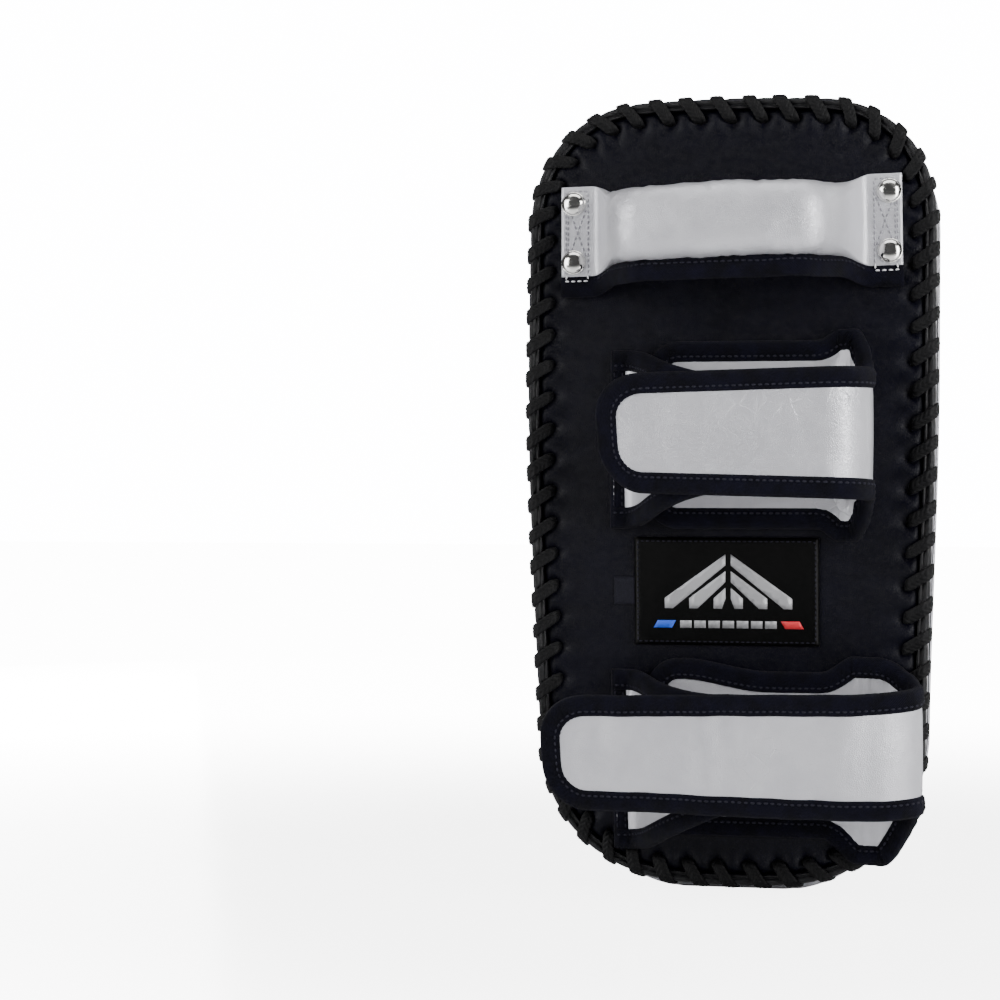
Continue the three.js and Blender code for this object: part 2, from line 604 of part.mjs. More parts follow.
/** A rivet through a tab and the back panel: domed cap outside, clenched end inside, lathed along its own axis. */
function addRivet(name, x, z, frame) {
  const face = TAB_DEPTH + TAB_HALF + GAP;
  const inside = -LEATHER - WASHER[2] - 1;
  const profile = [[0, inside - 1], [RIVET_CLENCH, inside - 1], [RIVET_CLENCH, inside], [RIVET_SHANK, inside],
    [RIVET_SHANK, face], [RIVET_HEAD, face], [RIVET_HEAD, face + 0.8], [RIVET_HEAD - 1, face + 1.8],
    [RIVET_HEAD / 2, face + RIVET_DOME - 0.2], [0, face + RIVET_DOME]];
  const rivet = new THREE.LatheGeometry(profile.map(([r, h]) => new THREE.Vector2(r, h)), ROUND);
  rivet.rotateX(Math.PI);
  rivet.translate(x, 0, z);
  add(`handle_rivet_${name}`, indexed(rivet), chrome, frame);
  const [bore, rim, thickness] = WASHER;
  const washer = new THREE.LatheGeometry([[bore, 0], [rim, 0], [rim, thickness], [bore, thickness], [bore, 0]]
    .map(([r, h]) => new THREE.Vector2(r, h)), ROUND);
  washer.translate(x, LEATHER + GAP, z);
  add(`handle_washer_${name}`, indexed(washer), chrome, frame);
}

addBody();
addLace();
CUFFS.forEach(addCuff);
addPatch();
addHandle();

export default root;
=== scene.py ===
"""Looks of the thai pad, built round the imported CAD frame.

Millimetres are used while a piece is worked out, and metres for every Blender object.
+X is the width, +Y points out of the striking face, -Y is the side of the handle and cuffs, +Z is up.
"""
import math

import bmesh
import bpy
import numpy as np
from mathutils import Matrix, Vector, noise


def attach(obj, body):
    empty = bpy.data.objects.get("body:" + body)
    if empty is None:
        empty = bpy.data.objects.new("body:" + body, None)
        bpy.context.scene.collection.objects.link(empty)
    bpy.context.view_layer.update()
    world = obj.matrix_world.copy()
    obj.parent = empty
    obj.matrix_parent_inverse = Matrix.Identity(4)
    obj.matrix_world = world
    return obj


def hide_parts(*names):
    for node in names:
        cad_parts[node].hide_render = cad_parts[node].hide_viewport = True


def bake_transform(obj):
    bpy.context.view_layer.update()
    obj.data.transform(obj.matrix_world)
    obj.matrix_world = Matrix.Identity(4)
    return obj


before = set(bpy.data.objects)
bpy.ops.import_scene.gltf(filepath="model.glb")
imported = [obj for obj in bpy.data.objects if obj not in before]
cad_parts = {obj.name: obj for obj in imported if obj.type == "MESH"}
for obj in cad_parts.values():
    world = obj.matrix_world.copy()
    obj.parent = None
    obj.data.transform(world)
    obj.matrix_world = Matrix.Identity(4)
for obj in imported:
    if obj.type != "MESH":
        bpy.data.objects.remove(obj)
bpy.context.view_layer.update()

MM = 0.001

# ---- Driving dimensions, as in the CAD source
SEAM_BOTTOM = 4.6
SEAM_TOP = 387.0
HALF_WIDTH_TOP = 97.5
HALF_WIDTH_BOTTOM = 92.5
BOW = 16.0
BACK = -38.0
FRONT_SEAM = 34.0
MIDDLE = (SEAM_BOTTOM + SEAM_TOP) / 2
SPINE = (96.0, 292.0)
LACE_PITCH = 15.5
HOLE_INSET = 9.2
BAND_DEPTH = 3.4
TURN_DEPTH = 20.8
FOLD_DEPTH = BAND_DEPTH + TURN_DEPTH
TAIL_DEPTH = BAND_DEPTH + 2 * TURN_DEPTH
FLAP_DEPTH = 37.0
ROOT_DEPTH = 2.7
HANDLE_Z = 325.0
HANDLE_ROLL = math.radians(1.2)
TAB_OUTER = 83.0
TAB_INNER = 67.0
TAB_DEPTH = 2.2
GRIP_DEPTH = 44.0
GRIP_ARCH = 8.0
GRIP_DROP = 5.3
GRIP_HALF_HEIGHT = 17.5
GRIP_HALF_DEPTH = 12.0
TAB_HALF_DEPTH = 1.4
TAB_HALF_HEIGHT = 22.4
RIVET_X = 77.0
RIVET_Z = 14.6
RIVET_DROP = 0.8
# Cuffs. base: the ends of the base band. turn: how far the fold reaches. half: half heights of the tail
# at the fold and at its tip. band, wide, root_z: low and high edges of the base, the fold, the flap's root.
UPPER = {"name": "upper", "z": 224.0, "base": (-40.0, 48.0), "turn": 21.0, "tip": -57.0, "half": (31.5, 28.0),
         "root": -50.0, "flap_tip": 36.0, "band": (-46.0, 45.0), "wide": (-52.0, 50.0),
         "root_z": (-46.0, 41.0), "tail_z": -1.0, "slant": 3.0, "waves": 0.9, "dip": 0.0}
LOWER = {"name": "lower", "z": 70.0, "base": (-40.0, 52.0), "turn": 40.0, "tip": -85.0, "half": (31.0, 27.5),
         "root": -50.0, "flap_tip": 52.0, "band": (-42.0, 46.0), "wide": (-54.0, 48.0),
         "root_z": (-50.0, 40.0), "tail_z": 7.0, "slant": 2.0, "waves": 2.2, "dip": 6.0}


# ---- Small maths
def smoothstep(x, low, high):
    t = np.clip((np.asarray(x, float) - low) / (high - low), 0, 1)
    return t * t * (3 - 2 * t)


def lerp(a, b, t):
    return a + (b - a) * t


def bump(x, width):
    """A soft bump of height 1 round x = 0."""
    return np.exp(-(np.asarray(x, float) / width) ** 2)


def ripple(points, size, seed=0.0):
    """Smooth noise, about -1 to 1, at points (..., 1 to 3 coordinates), with features of the given size."""
    points = np.asarray(points, float)
    count = points.shape[-1]
    flat = points.reshape(-1, count)
    wide = np.zeros((len(flat), 3))
    wide[:, :count] = flat / size
    wide[:, 2] += seed
    return np.array([noise.noise(Vector(p)) for p in wide]).reshape(points.shape[:-1])


def bow_y(z):
    return -BOW * (1 - ((np.asarray(z, float) - MIDDLE) / MIDDLE) ** 2)


def bow_slope(z):
    return 2 * BOW * (z - MIDDLE) / MIDDLE ** 2


# ---- The edge seam's outline
def bezier(p0, p1, p2, p3, steps=160):
    t = np.linspace(0, 1, steps + 1)[:-1, None]
    p0, p1, p2, p3 = (np.array(p, float) for p in (p0, p1, p2, p3))
    return (1 - t) ** 3 * p0 + 3 * (1 - t) ** 2 * t * p1 + 3 * (1 - t) * t ** 2 * p2 + t ** 3 * p3


def resample(points, count, closed=True):
    """The same line with count points at even steps."""
    line = np.vstack([points, points[:1]]) if closed else np.asarray(points, float)
    steps = np.linalg.norm(np.diff(line, axis=0), axis=1)
    at = np.concatenate([[0], np.cumsum(steps)])
    want = np.linspace(0, at[-1], count + 1)[:-1] if closed else np.linspace(0, at[-1], count)
    return np.stack([np.interp(want, at, line[:, k]) for k in range(line.shape[1])], 1), at[-1]


def seam_outline(count):
    """Points (x, z) round the seam from the bottom centre, up the +X side, and their outward normals."""
    low, high, wide_low, wide_high = SEAM_BOTTOM, SEAM_TOP, HALF_WIDTH_BOTTOM, HALF_WIDTH_TOP
    right = np.vstack([
        bezier((0, low), (12, low), (22, low + 0.2), (30, low + 1.2)),
        bezier((30, low + 1.2), (66, low + 5), (wide_low - 1, 36), (wide_low, 72)),
        bezier((wide_low, 72), (wide_low + 1, 130), (wide_high - 0.3, 190), (wide_high, 250)),
        np.linspace((wide_high, 250), (wide_high, 326), 80, endpoint=False),
        bezier((wide_high, 326), (wide_high, 360), (76, high - 3), (44, high - 1.2)),
        bezier((44, high - 1.2), (28, high - 0.3), (14, high), (0, high)),
        [[0, high]],
    ])
    left = right[1:-1][::-1] * [-1, 1]
    points, length = resample(np.vstack([right, left]), count)
    along = np.roll(points, -2, 0) - np.roll(points, 2, 0)
    normals = np.stack([along[:, 1], -along[:, 0]], 1)
    return points, normals / np.linalg.norm(normals, axis=1)[:, None], length


OUTLINE_COUNT = 1080
SEAM, SEAM_NORMAL, SEAM_LENGTH = seam_outline(OUTLINE_COUNT)
SEAM_S = np.arange(OUTLINE_COUNT) * SEAM_LENGTH / OUTLINE_COUNT
STITCHES = round(SEAM_LENGTH / LACE_PITCH)
STITCH_PITCH = SEAM_LENGTH / STITCHES


def seam_at(s):
    """Point and outward normal of the seam at distance s round it."""
    s = np.mod(s, SEAM_LENGTH)
    grid = np.append(SEAM_S, SEAM_LENGTH)
    point, normal = (np.stack([np.interp(s, grid, np.append(t[:, k], t[0, k])) for k in (0, 1)], -1)
                     for t in (SEAM, SEAM_NORMAL))
    return point, normal / np.linalg.norm(normal, axis=-1, keepdims=True)


def inset_of(x, z):
    """Distance of points inside the outline from the seam."""
    x, z = np.ravel(x), np.ravel(z)
    nearest = np.full(len(x), 1e9)
    for start in range(0, len(x), 4000):
        part = slice(start, start + 4000)
        d = (x[part, None] - SEAM[None, :, 0]) ** 2 + (z[part, None] - SEAM[None, :, 1]) ** 2
        nearest[part] = np.sqrt(d.min(1))
    return nearest


SEAM_SINK = 1.4
EDGE_RISE, EDGE_RUN = 1.8, 1.5
PILLOW_RISE, PILLOW_RUN, PILLOW_POWER = 13.6, 76, 3.1


def front_height(d):
    """Height of the striking face above the bowed middle surface, at distance d in from the seam."""
    d = np.asarray(d, float)
    edge = EDGE_RISE * (1 - np.exp(-d / EDGE_RUN))
    pillow = PILLOW_RISE * (1 - (1 - np.clip(d / PILLOW_RUN, 0, 1)) ** PILLOW_POWER)
    return FRONT_SEAM - SEAM_SINK + edge + pillow


def front_y(x, z, lift=0.0):
    """Y of the striking face over points (x, z)."""
    x, z = np.ravel(x), np.ravel(z)
    soft = 0.55 * ripple(np.stack([x, z], 1), 34, 3.1) + 0.22 * ripple(np.stack([x, z], 1), 13, 8.4)
    return bow_y(z) + front_height(inset_of(x, z)) + soft + lift


# ---- Meshes
def new_object(name, verts, faces, material, uvs=None, smooth=True):
    """A mesh object from millimetre points. uvs holds one (u, v) for each corner of each face, in order."""
    mesh = bpy.data.meshes.new(name)
    mesh.from_pydata((np.asarray(verts, float) * MM).tolist(), [], [list(f) for f in faces])
    if uvs is not None:
        layer = mesh.uv_layers.new(name="along")
        layer.data.foreach_set("uv", np.asarray(uvs, float).ravel())
    mesh.validate()
    mesh.materials.append(material)
    made = bmesh.new()
    made.from_mesh(mesh)
    bmesh.ops.recalc_face_normals(made, faces=made.faces)
    made.to_mesh(mesh)
    made.free()
    if smooth:
        mesh.polygons.foreach_set("use_smooth", [True] * len(mesh.polygons))
    made_object = bpy.data.objects.new(name, mesh)
    bpy.context.scene.collection.objects.link(made_object)
    return made_object


def grid_faces(rows, columns, close_rows, close_columns, first=0):
    faces = []
    for i in range(rows if close_rows else rows - 1):
        for j in range(columns if close_columns else columns - 1):
            a, b = i * columns, ((i + 1) % rows) * columns
            k = (j + 1) % columns
            faces.append((first + a + j, first + b + j, first + b + k, first + a + k))
    return faces


def end_caps(rows, columns, first=0):
    """The two end faces of a grid whose columns close."""
    return [tuple(first + row * columns + k for k in range(columns)) for row in (0, rows - 1)]


def grid_uvs(u, v):
    """Corner uvs for grid_faces: u has one more value where the rows close, and v likewise."""
    uvs = []
    for i in range(len(u) - 1):
        for j in range(len(v) - 1):
            uvs += [(u[i], v[j]), (u[i + 1], v[j]), (u[i + 1], v[j + 1]), (u[i], v[j + 1])]
    return uvs


def skin(name, rings, material, closed=False, uv=None):
    """A closed body from rings of points (rows, columns, 3). uv is (row distances, column distances)."""
    rows, columns = rings.shape[:2]
    faces = grid_faces(rows, columns, closed, True)
    uvs = grid_uvs(*uv) if uv is not None else None
    if not closed:
        faces += end_caps(rows, columns)
        if uvs is not None:
            uvs += [(u, v) for u in (uv[0][0], uv[0][-1]) for v in uv[1][:columns]]
    return new_object(name, rings.reshape(-1, 3), faces, material, uvs)


def distances(points, closed=False):
    line = np.vstack([points, points[:1]]) if closed else points
    return np.concatenate([[0], np.cumsum(np.linalg.norm(np.diff(line, axis=0), axis=1))])


def threads(name, ends, ups, radius, material, lift=0.4):
    """Sewing threads: one short arched thread for each pair of ends, standing lift above the surface."""
    sides, steps = 6, 5
    verts, faces = [], []
    for (a, b), up in zip(ends, ups):
        a, b, up = np.array(a, float), np.array(b, float), np.array(up, float)
        along = b - a
        side = np.cross(along, up)
        side /= np.linalg.norm(side) + 1e-9
        first = len(verts)
        for i in range(steps):
            t = i / (steps - 1)
            arch = math.sin(math.pi * t)
            centre = a + along * t + up * (lift * arch - 0.15)
            size = radius * (0.45 + 0.55 * min(1.0, arch * 1.6))
            for k in range(sides):
                angle = 2 * math.pi * k / sides
                verts.append(centre + side * size * math.cos(angle) + up * size * 0.8 * math.sin(angle))
        faces += grid_faces(steps, sides, False, True, first)
        faces += end_caps(steps, sides, first)
    return new_object(name, verts, faces, material)


def stitch_ends(points, length, pitch, closed=False):
    """Pairs of ends of a row of stitches along a line."""
    line = np.vstack([points, points[:1]]) if closed else points
    at = distances(line)
    count = max(1, int(at[-1] / pitch))
    starts = (np.arange(count) + 0.5) * at[-1] / count - length / 2
    pick = lambda s: np.stack([np.interp(s, at, line[:, k]) for k in range(line.shape[1])], 1)
    return list(zip(pick(starts), pick(starts + length)))


# ---- Materials
class Nodes:
    """A short way to write a node material."""

    def __init__(self, name):
        self.material = bpy.data.materials.new(name)
        self.material.use_nodes = True
        self.tree = self.material.node_tree
        self.shader = self.tree.nodes["Principled BSDF"]
        self.place = self.add("ShaderNodeTexCoord").outputs["Object"]

    def add(self, kind, **inputs):
        node = self.tree.nodes.new(kind)
        for key, value in inputs.items():
            self.give(node.inputs[key.replace("_", " ")], value)
        return node

    def give(self, socket, value):
        if isinstance(value, bpy.types.NodeSocket):
            self.tree.links.new(value, socket)
        else:
            socket.default_value = value

    def set(self, **inputs):
        for key, value in inputs.items():
            self.give(self.shader.inputs[key.replace("_", " ")], value)

    def noise(self, size_mm, detail=3.0, roughness=0.55, stretch=None, distortion=0.0):
        """Noise from 0 to 1 with features of about size_mm."""
        node = self.add("ShaderNodeTexNoise", Scale=1.0, Detail=detail, Roughness=roughness,
                        Distortion=distortion)
        self.give(node.inputs["Vector"], self.scaled(self.place, size_mm, stretch))
        return node.outputs["Fac"]

    def cells(self, size_mm, vector=None):
        """Distance to the nearest edge between cells of about size_mm."""
        node = self.add("ShaderNodeTexVoronoi", Scale=1.0)
        node.feature = "DISTANCE_TO_EDGE"
        self.give(node.inputs["Vector"], self.scaled(vector or self.place, size_mm))
        return node.outputs["Distance"]

    def scaled(self, vector, size_mm, stretch=None, unit=MM):
        node = self.add("ShaderNodeVectorMath")
        node.operation = "MULTIPLY"
        self.give(node.inputs[0], vector)
        factor = 1 / (size_mm * unit)
        node.inputs[1].default_value = [factor * k for k in (stretch or (1, 1, 1))]
        return node.outputs[0]

    def maths(self, operation, a, b=0.0):
        node = self.add("ShaderNodeMath")
        node.operation = operation
        self.give(node.inputs[0], a)
        self.give(node.inputs[1], b)
        return node.outputs[0]

    def spread(self, value, low, high, to_low=0.0, to_high=1.0):
        node = self.add("ShaderNodeMapRange")
        node.interpolation_type = "SMOOTHSTEP"
        for socket, number in zip(node.inputs, (value, low, high, to_low, to_high)):
            self.give(socket, number)
        return node.outputs[0]

    def mix(self, factor, a, b):
        node = self.tree.nodes.new("ShaderNodeMix")
        node.data_type = "RGBA"
        self.give(node.inputs["Factor"], factor)
        self.give(node.inputs[6], (*a, 1) if isinstance(a, tuple) else a)
        self.give(node.inputs[7], (*b, 1) if isinstance(b, tuple) else b)
        return node.outputs[2]

    def bump(self, height, depth_mm, normal=None):
        node = self.add("ShaderNodeBump", Strength=1.0, Distance=depth_mm * MM, Height=height)
        if normal is not None:
            self.give(node.inputs["Normal"], normal)
        return node.outputs["Normal"]

    def grain(self, pebble_mm, fine_mm):
        """Height of leather's pebbled grain."""
        pebble = self.cells(pebble_mm)
        fine = self.noise(fine_mm, 2.0)
        return self.maths("ADD", self.spread(pebble, 0.0, 0.32), self.maths("MULTIPLY", fine, 0.5))

    def uv(self):
        node = self.tree.nodes.new("ShaderNodeUVMap")
        node.uv_map = "along"
        return node.outputs["UV"]


def leather(name, dark, light, roughness, grain_mm, grain_depth, specular, metallic=0.0, crease=0.04,
            soft=0.35):
    """Coated leather: fine pebbled grain, soft creases, cloudy colour and a little rubbed shine."""
    n = Nodes(name)
    cloud = n.noise(42, 3.0)
    patch = n.noise(7, 4.0, 0.6)
    creases = n.cells(9, vector=n.scaled(n.place, 1.0, unit=1.0))
    crease_mask = n.spread(n.noise(38, 2.0, distortion=0.6), 0.52, 0.72)
    crease_line = n.maths("MULTIPLY", n.spread(creases, 0.0, 0.05, 1.0, 0.0), crease_mask)
    shade = n.maths("ADD", n.maths("MULTIPLY", cloud, 0.65), n.maths("MULTIPLY", patch, 0.35))
    rough = n.spread(patch, 0.2, 0.8, roughness - 0.025, roughness + 0.03)
    n.set(Base_Color=n.mix(n.spread(shade, 0.35, 0.66), dark, light), Metallic=metallic, Roughness=rough,
          Specular_IOR_Level=specular)
    normal = n.bump(n.grain(grain_mm, grain_mm * 0.45), grain_depth)
    normal = n.bump(n.maths("MULTIPLY", crease_line, -1.0), crease, normal)
    n.set(Normal=n.bump(n.noise(16, 2.0), soft, normal))
    return n.material


def woven_tape(name, dark, light):
    """Woven binding tape: a diagonal twill that follows the tape, with a soft nap."""
    twill_pitch = 0.62
    n = Nodes(name)
    split = n.add("ShaderNodeSeparateXYZ", Vector=n.uv())
    turn = 2 * math.pi / twill_pitch
    diagonal = n.maths("ADD", split.outputs[0], split.outputs[1])
    across = n.maths("SUBTRACT", split.outputs[0], split.outputs[1])
    wave_a = n.maths("SINE", n.maths("MULTIPLY", diagonal, turn))
    wave_b = n.maths("SINE", n.maths("MULTIPLY", across, turn * 0.5))
    weave = n.maths("ADD", n.maths("MULTIPLY", wave_a, 0.6), n.maths("MULTIPLY", wave_b, 0.4))
    nap = n.noise(0.5, 3.0, 0.7)
    soiled = n.maths("ADD", n.maths("MULTIPLY", nap, 0.5), n.noise(9, 3.0))
    shade = n.maths("ADD", n.maths("MULTIPLY", weave, 0.22), soiled)
    n.set(Base_Color=n.mix(n.spread(shade, 0.45, 1.1), dark, light), Roughness=0.88,
          Specular_IOR_Level=0.09, Sheen_Weight=0.02, Sheen_Roughness=0.5)
    normal = n.bump(nap, 0.10, n.bump(weave, 0.14))
    n.set(Normal=n.bump(n.noise(5, 2.0), 0.3, normal))
    return n.material


def thread(name, dark, light, roughness=0.75, pitch=0.5):
    """Twisted or braided yarn."""
    n = Nodes(name)
    twist = n.noise(pitch, 2.0, 0.6, stretch=(1.0, 1.6, 2.2))
    fuzz = n.noise(0.22, 2.0, 0.7)
    n.set(Base_Color=n.mix(n.spread(twist, 0.3, 0.7), dark, light), Roughness=roughness,
          Specular_IOR_Level=0.16)
    n.set(Normal=n.bump(fuzz, 0.05, n.bump(twist, 0.12)))
    return n.material


def hook_pile(name):
    """Hook or loop tape: a dense short pile."""
    n = Nodes(name)
    pile = n.noise(0.55, 4.0, 0.8)
    dark, light = (0.004, 0.004, 0.005), (0.03, 0.03, 0.034)
    n.set(Base_Color=n.mix(n.spread(pile, 0.35, 0.7), dark, light), Roughness=0.95)
    n.set(Normal=n.bump(pile, 0.5))
    return n.material


def polished_metal(name):
    """Nickel-plated rivet cap: bright, with fine scratches and faint smears."""
    n = Nodes(name)
    smear = n.noise(3, 3.0)
    scratch = n.noise(0.5, 2.0, stretch=(8, 1, 1))
    n.set(Base_Color=n.mix(smear, (0.70, 0.69, 0.66), (0.86, 0.85, 0.82)), Metallic=1.0)
    n.set(Roughness=n.spread(smear, 0.3, 0.7, 0.08, 0.2), Normal=n.bump(scratch, 0.01))
    return n.material


def satin_label(name):
    """Woven satin label: glossy black with fine ribs across it."""
    n = Nodes(name)
    split = n.add("ShaderNodeSeparateXYZ", Vector=n.place)
    ribs = n.maths("SINE", n.maths("MULTIPLY", split.outputs[2], 2 * math.pi / (0.42 * MM)))
    fine = n.noise(0.4, 2.0)
    n.set(Base_Color=n.mix(fine, (0.0002, 0.0002, 0.0002), (0.0012, 0.0012, 0.0012)), Roughness=0.36,
          Specular_IOR_Level=0.12)
    n.set(Normal=n.bump(ribs, 0.03, n.bump(n.noise(12, 2.0), 0.3)))
    return n.material


def foil(name, colour, roughness=0.42, metallic=0.3):
    """Silver print on leather: the grain shows through, and it is rubbed thin in places."""
    n = Nodes(name)
    cloud = n.noise(26, 4.0, 0.65)
    worn = n.spread(n.noise(2.2, 5.0, 0.7), 0.66, 0.78)
    light = tuple(min(1.0, c * 1.16) for c in colour)
    shade = n.mix(n.spread(cloud, 0.35, 0.65), colour, light)
    n.set(Base_Color=n.mix(n.maths("MULTIPLY", worn, 0.35), shade, tuple(c * 0.55 for c in colour)))
    n.set(Metallic=metallic, Roughness=n.spread(cloud, 0.3, 0.7, roughness - 0.05, roughness + 0.08))
    n.set(Normal=n.bump(n.grain(0.75, 0.35), 0.05))
    return n.material


BLACK_LEATHER = leather("black_leather", (0.0003, 0.0003, 0.0024), (0.0010, 0.0010, 0.0046), roughness=0.38,
                        grain_mm=0.8, grain_depth=0.085, specular=0.13)
WELT_LEATHER = leather("welt_leather", (0.0008, 0.0008, 0.0014), (0.0022, 0.0022, 0.0032), roughness=0.36,
                       grain_mm=0.6, grain_depth=0.07, specular=0.30)
SILVER_LEATHER = leather("silver_leather", (0.475, 0.475, 0.505), (0.525, 0.525, 0.555), roughness=0.31,
                         grain_mm=0.85, grain_depth=0.07, specular=0.5, metallic=0.38, crease=0.22, soft=0.9)
BINDING_TAPE = woven_tape("binding_tape", (0.0002, 0.0002, 0.0014), (0.0022, 0.0022, 0.0088))
LACE_YARN = thread("lace_yarn", (0.0003, 0.0003, 0.0004), (0.0030, 0.0030, 0.0036), 0.55)
DARK_THREAD = thread("dark_thread", (0.004, 0.004, 0.008), (0.014, 0.014, 0.024), 0.6)
GREY_THREAD = thread("grey_thread", (0.20, 0.20, 0.22), (0.42, 0.42, 0.45), 0.6)
WHITE_THREAD = thread("white_thread", (0.55, 0.55, 0.57), (0.85, 0.85, 0.86), 0.6)
TAG_WEAVE = thread("tag_weave", (0.003, 0.003, 0.006), (0.010, 0.010, 0.016), 0.85, 0.4)
FOAM = thread("closed_cell_foam", (0.09, 0.09, 0.10), (0.15, 0.15, 0.16), 0.95, 0.8)
HOOK_TAPE = hook_pile("hook_tape")
NICKEL = polished_metal("polished_nickel")
LABEL = satin_label("satin_label")
RING_FOIL = foil("ring_foil", (0.52, 0.52, 0.55))
DISC_FOIL = foil("disc_foil", (0.33, 0.33, 0.37), 0.46)
MARK_FOIL = foil("mark_foil", (0.36, 0.36, 0.40))
LABEL_SILVER = foil("label_silver", (0.30, 0.30, 0.31), 0.4, 0.4)
LABEL_BLUE = foil("label_blue", (0.02, 0.09, 0.55), 0.4, 0.1)
LABEL_RED = foil("label_red", (0.62, 0.03, 0.04), 0.4, 0.1)


# ---- Stage: camera, floor, lights
CAMERA_AZIMUTH = math.radians(7.0)
CAMERA_DISTANCE = 1.257
CAMERA_HEIGHT = 0.205
LENS = 93.0
PAD_CENTRE_Z = 0.192
FRAME_OFFSET = 0.1112      # the pad stands this far right of the middle of the picture
FLOOR_HALF = 6000
# The floor and the world look pale to the camera, and give the pad only a little light.
PAPER_NEAR, PAPER_FAR = 5.0, 14.0
WORLD_LIGHT, WORLD_SEEN = 0.08, 16.0


def aim(thing, at):
    thing.rotation_euler = (Vector(at) - thing.location).to_track_quat("-Z", "Y").to_euler()


def make_camera():
    right = Vector((math.cos(CAMERA_AZIMUTH), math.sin(CAMERA_AZIMUTH), 0))
    back = Vector((math.sin(CAMERA_AZIMUTH), -math.cos(CAMERA_AZIMUTH), 0))
    centre = Vector((0, (BACK + bow_y(MIDDLE)) * MM, PAD_CENTRE_Z))
    camera = bpy.data.objects.new("camera", bpy.data.cameras.new("camera"))
    bpy.context.scene.collection.objects.link(camera)
    camera.data.lens = LENS
    camera.data.clip_start = 0.02
    camera.location = centre + back * CAMERA_DISTANCE
    camera.location.z = CAMERA_HEIGHT
    aim(camera, centre - right * FRAME_OFFSET)
    bpy.context.scene.camera = camera


def soft_light(name, place, target, size, power):
    data = bpy.data.lights.new(name, "AREA")
    data.shape = "RECTANGLE"
    data.size, data.size_y = size
    data.energy = power
    light = bpy.data.objects.new(name, data)
    bpy.context.scene.collection.objects.link(light)
    light.location = place
    aim(light, target)


def make_stage():
    n = Nodes("pale_floor")
    n.set(Base_Color=(0.86, 0.86, 0.87, 1), Roughness=n.spread(n.noise(240), 0.3, 0.7, 0.16, 0.22))
    seen = n.add("ShaderNodeLightPath").outputs["Is Camera Ray"]
    away = n.add("ShaderNodeVectorMath")
    away.operation = "LENGTH"
    n.give(away.inputs[0], n.place)
    paper = n.spread(away.outputs["Value"], 0.22, 1.0, PAPER_NEAR, PAPER_FAR)
    n.set(Emission_Color=(1, 1, 1, 1), Emission_Strength=n.maths("MULTIPLY", seen, paper))
    verts = [(x * FLOOR_HALF, y * FLOOR_HALF, 0) for x, y in ((-1, -1), (1, -1), (1, 1), (-1, 1))]
    floor = new_object("floor", verts, [(0, 1, 2, 3)], n.material, smooth=False)
    world = bpy.data.worlds.new("studio")
    bpy.context.scene.world = world
    world.use_nodes = True
    tree = world.node_tree
    background = tree.nodes["Background"]
    seen = tree.nodes.new("ShaderNodeLightPath").outputs["Is Camera Ray"]
    strength = tree.nodes.new("ShaderNodeMapRange")
    tree.links.new(seen, strength.inputs[0])
    strength.inputs[3].default_value = WORLD_LIGHT
    strength.inputs[4].default_value = WORLD_SEEN
    tree.links.new(strength.outputs[0], background.inputs["Strength"])
    background.inputs["Color"].default_value = (0.97, 0.975, 1.0, 1)
    soft_light("edge_right", (0.62, -0.42, 0.34), (0.05, -0.05, 0.2), (0.22, 0.8), 6.0)
    soft_light("edge_left", (-0.80, -0.45, 0.40), (-0.05, -0.05, 0.2), (0.22, 0.8), 4.5)
    soft_light("box_right", (1.02, -0.98, 0.66), (0, -0.05, 0.24), (0.30, 0.9), 10)
    soft_light("box_left", (-0.96, -1.00, 0.66), (0, -0.05, 0.24), (0.30, 0.9), 9)
    soft_light("top", (0.0, -0.30, 1.5), (0, -0.05, 0.2), (1.4, 0.7), 10)
    soft_light("front_left", (-0.9, 1.1, 0.6), (0, 0, 0.2), (0.6, 1.2), 12)
    soft_light("front_right", (1.1, 1.0, 0.7), (0, 0, 0.2), (0.5, 1.2), 10)


# ---- Body
LEATHER_SHELL = 2.4
RING_INSETS = np.array([0.0, 0.6, 1.3, 2.2, 3.2, 4.4, 5.8, 7.4, 9.2, 11.2, 13.6, 16.4])


def panel_points(first_inset, step=2, inner=22):
    """Plan points (rows, columns, 2) of a panel inside the outline, and how far each is from the seam."""
    base, normal, s = SEAM[::step], SEAM_NORMAL[::step], SEAM_S[::step]
    insets = first_inset + RING_INSETS
    rows = [base - normal * d for d in insets]
    depth = [np.full(len(base), d) for d in insets]
    last = rows[-1]
    spine = np.clip(last[:, 1], *SPINE)
    for i in range(1, inner + 1):
        t = 1 - i / inner
        ring = np.stack([last[:, 0] * t, spine + (last[:, 1] - spine) * t], 1)
        rows.append(ring)
        depth.append(inset_of(ring[:, 0], ring[:, 1]))
    return np.array(rows), np.array(depth), s


def close_panel(name, points, material, thickness, toward):
    """A panel from its outer surface points (rows, columns, 3): a shell with an inner face and an edge."""
    rows, columns = points.shape[:2]
    kept = list(range(0, rows - 1, max(1, rows // 8))) + [rows - 1]
    inner = points[kept].copy()
    inner[:, :, 1] += toward * thickness
    inner[0, :, 1] = points[0, :, 1] + toward * thickness * 0.6
    faces = grid_faces(rows, columns, False, True)
    faces += grid_faces(len(inner), columns, False, True, rows * columns)
    for j in range(columns):
        k = (j + 1) % columns
        faces.append((j, k, rows * columns + k, rows * columns + j))
    made = new_object(name, np.vstack([points.reshape(-1, 3), inner.reshape(-1, 3)]), faces, material)
    merge(made)
    return made


def rework(made, change):
    """Runs change on a piece's mesh, then turns its normals outward."""
    work = bmesh.new()
    work.from_mesh(made.data)
    change(work)
    bmesh.ops.recalc_face_normals(work, faces=work.faces)
    work.to_mesh(made.data)
    work.free()


def merge(made, distance=2e-5):
    rework(made, lambda work: bmesh.ops.remove_doubles(work, verts=work.verts, dist=distance))


